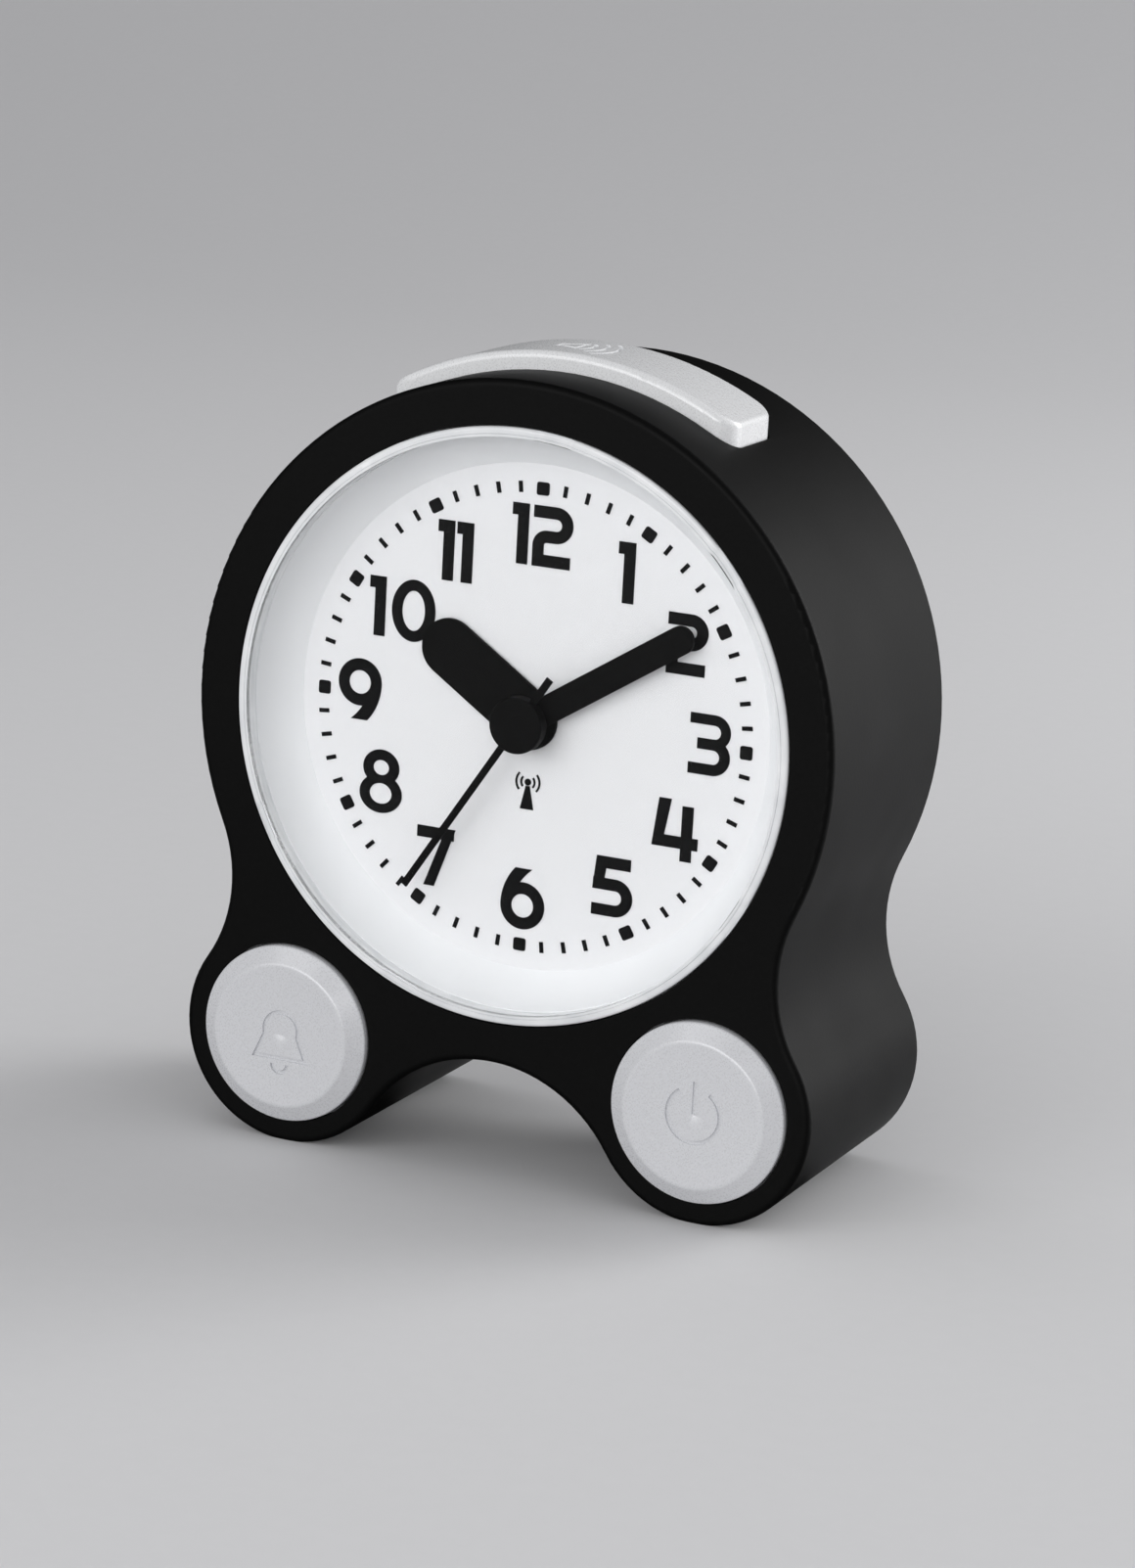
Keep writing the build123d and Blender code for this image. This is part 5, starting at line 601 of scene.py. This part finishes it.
class CLOCK_OT_speaker(bpy.types.Operator):
    """Makes the speaker's cone with its roll edge, and the dust cloth behind the grille"""

    bl_idname = "clock.speaker"
    bl_label = "Speaker"

    cap_radius, cap_rise = 4.5, 1.25
    roll_inner, roll_outer, roll_rise = 11.4, 13.7, 0.45
    paper, ribs, rib_height, slope_power = 0.25, 4, 0.07, 0.9
    cap_steps, slope_steps, roll_steps = 8, 32, 12
    cloth_gap, cloth_thickness, cloth_hem = 0.08, 0.12, 0.2

    def execute(self, context):
        low, high = box_of("speaker_cone")
        centre = middle_of("speaker_cone")
        edge_y = high.y - self.roll_rise
        cap_y = low.y + 2 * self.paper
        face = []
        for i in range(self.cap_steps + 1):
            share = i / self.cap_steps
            face.append((self.cap_radius * share, cap_y + self.cap_rise * (1 - share * share)))
        for i in range(1, self.slope_steps + 1):
            share = i / self.slope_steps
            ripple = self.rib_height * sin(share * self.ribs * tau)
            face.append((self.cap_radius + (self.roll_inner - self.cap_radius) * share,
                         cap_y + (edge_y - cap_y) * share ** self.slope_power + ripple))
        for i in range(1, self.roll_steps + 1):
            turn = pi * i / self.roll_steps
            half = (self.roll_outer - self.roll_inner) / 2
            face.append((self.roll_inner + half - half * cos(turn), edge_y + self.roll_rise * sin(turn)))
        back = [(r, y - self.paper) for r, y in reversed(face)]
        mesh = bmesh.new()
        turned(mesh, face + back, centre)
        cone = finished(mesh, "speaker_cone_with_roll", "paper_cone", "case")
        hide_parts("speaker_cone")

        cloth_y = high.y + self.cloth_gap
        cloth_back_y = cloth_y + self.cloth_thickness
        hem = (high.x - low.x) / 2 - self.cloth_hem
        mesh = bmesh.new()
        turned(mesh, [(0, cloth_y), (hem, cloth_y), (hem + self.cloth_hem / 2, (cloth_y + cloth_back_y) / 2),
                      (hem, cloth_back_y), (0, cloth_back_y)], centre)
        finished(mesh, "grille_cloth", "woven_cloth", "case")
        return {"FINISHED"}


class CLOCK_OT_aerial(bpy.types.Operator):
    """Winds the aerial's coil, with a paper tape at each end"""

    bl_idname = "clock.aerial"
    bl_label = "Aerial winding"

    rod_gap, groove_share, turn_points = 0.02, 0.3, 4
    tape_width, tape_rise, tape_edge = 0.9, 0.12, 0.1

    def execute(self, context):
        low, high = box_of("antenna_coil")
        centre = middle_of("antenna_coil")
        outer = (high.z - low.z) / 2
        rod_low, rod_high = box_of("ferrite_rod")
        inner = (rod_high.z - rod_low.z) / 2 + self.rod_gap
        pitch = settings()[1].winding / MM
        groove = pitch * self.groove_share
        turns = round((high.x - low.x) / pitch)
        crests = []
        for i in range(turns):
            start = low.x + (high.x - low.x) * i / turns
            for k in range(self.turn_points):
                share = k / self.turn_points
                crests.append((outer - groove * (1 - sin(pi * share)), start + pitch * share))
        mesh = bmesh.new()
        turned(mesh, [(inner, low.x), *crests, (outer - groove, high.x), (inner, high.x)], centre,
               axis="X", closed=True)
        coil = finished(mesh, "aerial_winding", "coil_copper", "case")
        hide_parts("antenna_coil")
        mesh = bmesh.new()
        for start, way in ((low.x, -1), (high.x, 1)):
            far = start + way * self.tape_width
            top, edge = outer + self.tape_rise, self.tape_edge
            turned(mesh, [(inner, start), (top - edge, start), (top, start + way * edge),
                          (top, far - way * edge), (top - edge, far), (inner, far)], centre,
                   axis="X", closed=True)
        finished(mesh, "aerial_tapes", "waxed_paper", "case")
        return {"FINISHED"}


class CLOCK_OT_cells(bpy.types.Operator):
    """Makes the two cells: a steel can with its raised end, in a printed film sleeve with a pale collar"""

    bl_idname = "clock.cells"
    bl_label = "Battery cells"

    nub_radius, nub_length, nub_edge, spring_length, film, collar_length = 2.7, 1.2, 0.4, 4.0, 0.1, 7.0
    # Steps of the can's two ends and of the film's folded edge
    seat, shoulder, crimp, fold, bead, film_edge = 0.7, 0.5, 0.9, 0.15, 0.3, 0.06
    foot_edge, foot_bevel, foot_ring, foot_dish, foot_dip = 0.08, 0.4, 1.2, 1.5, 0.2

    def execute(self, context):
        low, high = box_of("battery_cells")
        radius = (high.y - low.y) / 2
        tip = high.x
        core = radius - self.film
        length = 2 * tip - self.nub_length - self.spring_length
        cans, sleeves, collars = bmesh.new(), bmesh.new(), bmesh.new()
        # The upper cell's raised end points to +X and the lower one's to -X, as in the CAD node
        for way, z in ((1, high.z - radius), (-1, low.z + radius)):
            centre = (0, (low.y + high.y) / 2, z)
            top = tip - self.nub_length

            def at(points, way=way, top=top):
                return [(r, way * (top - s)) for r, s in points]

            nub, nub_edge, shoulder, fold = self.nub_radius, self.nub_edge, self.shoulder, self.fold
            foot, dish, sleeve_from = length - self.foot_edge, length - self.foot_dip, self.collar_length
            turned(cans, at([(0, -self.nub_length), (nub - nub_edge, -self.nub_length),
                             (nub, nub_edge - self.nub_length), (nub, 0.0), (nub + self.seat, fold),
                             (core - self.crimp, fold), (core - self.bead, self.film), (core, shoulder),
                             (core, length - shoulder), (core - self.foot_bevel, foot),
                             (core - self.foot_ring, foot), (core - self.foot_dish, dish), (0, dish)]),
                   centre, axis="X")
            # The film's edge is folded over the shoulder at both ends
            lap = [(radius - self.crimp, self.film_edge), (radius - self.crimp, 0.0),
                   (radius - shoulder, 0.0), (radius - fold, 2 * self.film_edge), (radius, shoulder)]
            far_lap = [(r, length - s) for r, s in reversed(lap)]
            turned(sleeves, at([(core, sleeve_from), (radius, sleeve_from), *far_lap,
                                (core, length - shoulder)]), centre, axis="X", closed=True)
            turned(collars, at([(core, sleeve_from), (core, shoulder), *lap, (radius, sleeve_from)]),
                   centre, axis="X", closed=True)
        can = finished(cans, "cell_cans", "drawn_can", "case")
        finished(sleeves, "cell_sleeves", "cell_jacket", "case")
        finished(collars, "cell_collars", "pale_film", "case")
        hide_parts("battery_cells")
        return {"FINISHED"}


class CLOCK_OT_springs(bpy.types.Operator):
    """Makes the return springs of the talk bar and front buttons"""

    bl_idname = "clock.springs"
    bl_label = "Return springs"

    # Joint, CAD node, axis of the push, thickness of the wire and number of turns
    springs = (("talk_bar_press", "talk_bar_springs", (0, 0, 1), 0.5, 7),
               ("alarm_button_press", "alarm_button_spring", (0, 1, 0), 0.7, 6),
               ("on_off_button_press", "on_off_button_spring", (0, 1, 0), 0.7, 6))
    wire_sides, steps_a_turn = 8, 24

    def coil(self, mesh, foot, along, length, outer, wire, turns):
        """One open coil of round wire that stands on foot and fills length along its axis."""
        across = Vector((1, 0, 0))
        start = foot + across * (outer - wire) / 2 + along * wire / 2
        place = Matrix((across, along, across.cross(along))).transposed().to_4x4()
        made = bmesh.ops.create_circle(mesh, cap_ends=False, radius=wire / 2, segments=self.wire_sides,
                                       matrix=Matrix.Translation(start) @ place)
        steps = turns * self.steps_a_turn
        bmesh.ops.spin(mesh, geom=made["verts"] + edges_at(made["verts"]), cent=foot, axis=along,
                       angle=tau * turns, dvec=along * (length - wire) / steps, steps=steps)
        bmesh.ops.holes_fill(mesh, edges=[edge for edge in mesh.edges if edge.is_boundary])

    def execute(self, context):
        for name, node, axis, wire, turns in self.springs:
            low, high = box_of(node)
            along = Vector(axis)
            length = (high - low).dot(along)
            outer = high.y - low.y if along.z else high.z - low.z
            middle = (low + high) / 2
            spread = (high.x - low.x - outer) / 2
            mesh = bmesh.new()
            for side in (-1, 1) if spread > outer else (0,):
                foot = middle + Vector((side * spread, 0, 0)) - along * length / 2
                self.coil(mesh, foot, along, length, outer, wire, turns)
            piece = finished(mesh, f"{node}_wire", "spring_steel", "case")
            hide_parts(node)
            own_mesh(piece)
        return {"FINISHED"}


class CLOCK_OT_board_parts(bpy.types.Operator):
    """Makes the chips' legs and the small parts soldered to the main board"""

    bl_idname = "clock.board_parts"
    bl_label = "Board parts"

    leg_pitch, leg_width, leg_reach, leg_thickness, leg_height = 1.27, 0.45, 1.0, 0.2, 0.55
    knee_share, knee_half, leg_round = 0.45, 0.11, 0.05
    lead_spread, lead_length, lead_half, lead_thickness, lead_round = 0.6, 2.2, 0.15, 0.5, 0.08
    chip_size, end_share, end_lap, end_proud, end_round = (1.6, 0.8, 0.5), 0.22, 0.02, 0.03, 0.06
    # Small resistors and capacitors by their middles: x, then height above the clock's axis
    small_parts = ((-27.0, 17.5), (-24.0, 17.5), (-21.0, 17.5), (-12.0, 6.0), (-12.0, 8.2), (-12.0, 10.4),
                   (13.6, 6.0), (16.4, 6.0), (19.2, 6.0), (22.0, 6.0), (13.6, 15.5), (13.6, 13.3), (3.0, 2.0),
                   (5.6, 2.0), (14.5, 22.0), (-14.5, 24.0), (-17.0, 24.0), (12.0, 27.0), (9.0, 27.0))

    def execute(self, context):
        mesh = bmesh.new()
        for name in ("voice_chip", "clock_chip"):
            self.legs(mesh, *box_of(name))
        low, high = box_of("quartz_crystal")
        for side in (-1, 1):
            z = (low.z + high.z) / 2 + side * self.lead_spread
            block(mesh, (low.x - self.lead_length, BOARD_Y, z - self.lead_half),
                  (low.x, BOARD_Y + self.lead_thickness, z + self.lead_half), self.lead_round)
        finished(mesh, "chip_legs", "tinned_copper", "case")
        bodies, ends = bmesh.new(), bmesh.new()
        wide, tall, thick = self.chip_size
        end = wide * self.end_share
        for x, rise in self.small_parts:
            z = AXIS_Z + rise
            low, high = z - tall / 2, z + tall / 2
            block(bodies, (x - wide / 2 + end, BOARD_Y, low), (x + wide / 2 - end, BOARD_Y + thick, high))
            for side in (-1, 1):
                inner, outer = sorted((x + side * (wide / 2 - end), x + side * wide / 2))
                block(ends, (inner, BOARD_Y, low - self.end_lap),
                      (outer, BOARD_Y + thick + self.end_proud, high + self.end_lap), self.end_round)
        finished(bodies, "resistor_bodies", "chip_resin", "case")
        finished(ends, "resistor_ends", "tinned_copper", "case")
        return {"FINISHED"}

    def legs(self, mesh, low, high):
        """Gull-wing legs along the upper and lower sides of a chip."""
        count = int((high.x - low.x - self.leg_width) / self.leg_pitch)
        first = (low.x + high.x) / 2 - (count - 1) * self.leg_pitch / 2
        for i in range(count):
            left = first + i * self.leg_pitch - self.leg_width / 2
            right = left + self.leg_width
            for edge, way in ((low.z, -1), (high.z, 1)):
                knee, far = edge + way * self.leg_reach * self.knee_share, edge + way * self.leg_reach
                thick, soft = self.leg_thickness, self.leg_round
                for ends, y in (((edge, knee), BOARD_Y + self.leg_height), ((knee, far), BOARD_Y)):
                    block(mesh, (left, y, min(ends)), (right, y + thick, max(ends)), soft)
                block(mesh, (left, BOARD_Y + soft, knee - self.knee_half),
                      (right, BOARD_Y + self.leg_height + thick, knee + self.knee_half), soft)


class CLOCK_OT_rear_signs(bpy.types.Operator):
    """Prints the raised signs beside the rear controls and an arrow on the battery door"""

    bl_idname = "clock.rear_signs"
    bl_label = "Rear signs"

    pen, rise, sunk, shift = 0.35, 0.12, 0.05, 6.6
    clock_radius, hour_share, minute_share, side_share = 1.9, 0.5, 0.95, 0.7
    wedge_gap, wedge_half, wedge_thin, wedge_wide, wedge_edge = 3.2, 4.6, 0.3, 1.8, 0.1
    arrow_rise, arrow_wing, arrow_pen = 8.6, 1.7, 1.4

    def execute(self, context):
        y, depth = COVER_Y - self.sunk, self.rise + self.sunk
        mesh = bmesh.new()
        for name, hand in (("hour_set_button", self.hour_share), ("minute_set_button", self.minute_share)):
            place = middle_of(name)
            x, z = place.x - self.shift, place.z
            ring_sign(mesh, (x, z), self.clock_radius, self.pen, y, depth)
            reach = (self.clock_radius - self.pen) * hand
            bar_sign(mesh, (x, z - self.pen / 2), (x, z + reach), self.pen, y, depth)
            bar_sign(mesh, (x + self.pen / 2, z), (x - reach * self.side_share, z), self.pen, y, depth)
        place = middle_of("alarm_set_button")
        self.bell(mesh, place.x - self.shift, place.z, y, depth)
        low, high = box_of("volume_knob")
        x, z = high.x + self.wedge_gap, (low.z + high.z) / 2
        foot, top, edge = z - self.wedge_half, z + self.wedge_half, x - self.wedge_edge
        drawn(mesh, [(edge, foot), (x + self.wedge_thin, foot), (x + self.wedge_wide, top), (edge, top)],
              y, depth)
        finished(mesh, "rear_signs", "grey_ink", "case", smooth=False)

        low, high = box_of("battery_door")
        mesh = bmesh.new()
        x, z, wing = (low.x + high.x) / 2, low.z + self.arrow_rise, self.arrow_wing
        for way in (-1, 1):
            bar_sign(mesh, (x, z), (x + way * wing, z + wing), self.pen * self.arrow_pen, y, depth)
        finished(mesh, "door_arrow", "grey_ink", "door", smooth=False)
        return {"FINISHED"}

    def bell(self, mesh, x, z, y, depth):
        """An upright bell with its clapper."""
        crown_radius, crown_rise, waist, waist_drop, brim, brim_drop = 1.1, 0.5, 1.15, 0.5, 1.7, 1.1
        clapper_radius, clapper_drop = 0.42, 1.35
        crown = arc((x, z + crown_rise), crown_radius, 0, 180, 10)
        drawn(mesh, [(x + brim, z - brim_drop), (x + waist, z - waist_drop), *crown,
                     (x - waist, z - waist_drop), (x - brim, z - brim_drop)], y, depth)
        drawn(mesh, arc((x, z - clapper_drop), clapper_radius, 180, 360, 8), y, depth)


class CLOCK_OT_stage(bpy.types.Operator):
    """Makes the floor, the soft studio lamps and the camera"""

    bl_idname = "clock.stage"
    bl_label = "Stage"

    floor_start, floor_bend, floor_half, bend_steps = 700.0, 1500.0, 4000.0, 24
    # Mirrored, the floor is pale for this many metres behind the clock's middle, and elsewhere this dim
    pale_reach, mirrored_share = 0.6, 0.06
    world_strength = 0.52

    def execute(self, context):
        scene = context.scene
        scene.view_settings.view_transform = "Standard"
        colours, sizes = settings()
        self.floor(colours)
        self.lamps()
        self.world(scene)
        self.camera(scene, sizes)
        return {"FINISHED"}

    def floor(self, colours):
        """A wide pale floor that curves up into a wall. Mirrored, only the part behind the clock is pale."""
        mesh = bmesh.new()
        start, bend, half = self.floor_start, self.floor_bend, self.floor_half
        line = [mesh.verts.new((-half, -half, 0)), mesh.verts.new((-half, start, 0))]
        for i in range(1, self.bend_steps + 1):
            turn = pi / 2 * i / self.bend_steps
            line.append(mesh.verts.new((-half, start + bend * sin(turn), bend * (1 - cos(turn)))))
        line.append(mesh.verts.new((-half, start + bend, half)))
        edges = [mesh.edges.new(pair) for pair in zip(line, line[1:])]
        swept = bmesh.ops.extrude_edge_only(mesh, edges=edges)["geom"]
        bmesh.ops.translate(mesh, verts=[v for v in swept if isinstance(v, bmesh.types.BMVert)],
                            vec=(2 * half, 0, 0))
        bmesh.ops.recalc_face_normals(mesh, faces=mesh.faces)
        bmesh.ops.scale(mesh, verts=mesh.verts, vec=(MM, MM, MM))
        data = bpy.data.meshes.new("studio_floor")
        mesh.to_mesh(data)
        mesh.free()
        data.shade_smooth()
        obj = bpy.data.objects.new("studio_floor", data)
        bpy.context.scene.collection.objects.link(obj)
        mat, shader, place = start_material("matt_studio_paper", list(colours.floor), Roughness=0.9)
        shader.inputs["Specular IOR Level"].default_value = 0.1
        fibre = noise(mat, place, 3.0 * MM, detail=3.0)
        plain = shades(mat, fibre, tint(list(colours.floor), 0.99), list(colours.floor))
        depth = node(mat, "ShaderNodeSeparateXYZ", {"Vector": place}).outputs["Y"]
        half_reach = self.pale_reach / 2
        behind = node(mat, "ShaderNodeMath", {0: depth, 1: half_reach, 2: half_reach}, operation="COMPARE")
        beyond = node(mat, "ShaderNodeMath", {0: 1.0, 1: behind.outputs["Value"]}, operation="SUBTRACT")
        flagged = node(mat, "ShaderNodeMath", {0: mirrored(mat), 1: beyond.outputs["Value"]},
                       operation="MULTIPLY")
        choice = {0: flagged.outputs["Value"], 6: plain, 7: tint(list(colours.floor), self.mirrored_share)}
        mix = node(mat, "ShaderNodeMix", choice, data_type="RGBA")
        join(mat, mix.outputs[2], shader, "Base Color")
        data.materials.append(mat)

    def lamps(self):
        """A key lamp at the front left, a wide low fill, a lamp for the right side wall and a rear lamp."""
        # Name, place, aim, width, height and watts
        plan = (
            ("key_lamp", (-330, -800, 450), (0, 0, 55), 560, 560, 1.7),
            ("front_fill", (90, -1400, 340), (0, 0, 55), 1100, 460, 5.2),
            ("side_lamp", (640, 560, 280), (30, 0, 55), 460, 460, 3.8),
            ("rear_lamp", (700, 900, 760), (0, 0, 55), 600, 600, 2.6),
        )
        for name, place, aim, wide, high, watts in plan:
            data = bpy.data.lights.new(name, "AREA")
            data.shape = "RECTANGLE"
            data.size, data.size_y, data.energy = wide * MM, high * MM, watts
            obj = bpy.data.objects.new(name, data)
            bpy.context.scene.collection.objects.link(obj)
            turn = (Vector(aim) - Vector(place)).to_track_quat("-Z", "Y").to_matrix().to_4x4()
            obj.matrix_world = Matrix.Translation(Vector(place) * MM) @ turn

    def world(self, scene):
        """An even pale surround. Mirrored, it is darker, so that black plastic and print stay black."""
        world = bpy.data.worlds.new("studio_surround")
        world.use_nodes = True
        back = world.node_tree.nodes["Background"]
        choice = {0: mirrored(world), 6: linear("#f0f0f2"), 7: linear("#3c3c3e")}
        mix = node(world, "ShaderNodeMix", choice, data_type="RGBA")
        join(world, mix.outputs[2], back, "Color")
        back.inputs["Strength"].default_value = self.world_strength
        scene.world = world

    def camera(self, scene, sizes):
        """The photograph's camera, worked out from the dial's circle and the case's outline."""
        azimuth, elevation, roll = radians(24.408), radians(13.783), radians(3.137)
        offset = Vector((-4.4354, -8.3908, 577.194))
        back = Vector((sin(azimuth) * cos(elevation), -cos(azimuth) * cos(elevation), sin(elevation)))
        ahead = -back
        right = ahead.cross(Vector((0, 0, 1))).normalized()
        down = ahead.cross(right)
        right, down = right * cos(roll) - down * sin(roll), right * sin(roll) + down * cos(roll)
        centre = Vector((0, DIAL_Y, AXIS_Z))
        place = centre - (right * offset.x + down * offset.y + ahead * offset.z)
        data = bpy.data.cameras.new("photo_camera")
        data.sensor_fit, data.sensor_width, data.lens = "AUTO", 36.0, sizes.lens_mm
        data.clip_start, data.clip_end = 0.05, 20.0
        obj = bpy.data.objects.new("photo_camera", data)
        turn = Matrix((right, -down, back)).transposed().to_4x4()
        obj.matrix_world = Matrix.Translation(place * MM) @ turn
        scene.collection.objects.link(obj)
        scene.camera = obj


CLASSES = (ClockColours, ClockSizes, CLOCK_OT_finishes, CLOCK_OT_lens, CLOCK_OT_speaker, CLOCK_OT_aerial,
           CLOCK_OT_cells, CLOCK_OT_springs, CLOCK_OT_board_parts, CLOCK_OT_rear_signs, CLOCK_OT_stage)
STEPS = ("finishes", "lens", "speaker", "aerial", "cells", "springs", "board_parts", "rear_signs", "stage")


class CLOCK_PT_panel(bpy.types.Panel):
    """Lists the clock's steps in the sidebar"""

    bl_idname = "CLOCK_PT_panel"
    bl_label = "Talking clock"
    bl_space_type = "VIEW_3D"
    bl_region_type = "UI"
    bl_category = "Clock"

    def draw(self, context):
        for step in STEPS:
            self.layout.operator(f"clock.{step}")
        for group in (context.scene.clock_colours, context.scene.clock_sizes):
            for name in group.__annotations__:
                self.layout.prop(group, name)


def register():
    for kind in (*CLASSES, CLOCK_PT_panel):
        bpy.utils.register_class(kind)
    bpy.types.Scene.clock_colours = PointerProperty(type=ClockColours)
    bpy.types.Scene.clock_sizes = PointerProperty(type=ClockSizes)


def unregister():
    del bpy.types.Scene.clock_colours
    del bpy.types.Scene.clock_sizes
    for kind in reversed((*CLASSES, CLOCK_PT_panel)):
        bpy.utils.unregister_class(kind)


def main():
    """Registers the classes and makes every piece."""
    register()
    for step in STEPS:
        getattr(bpy.ops.clock, step)()


if __name__ == "__main__":
    main()
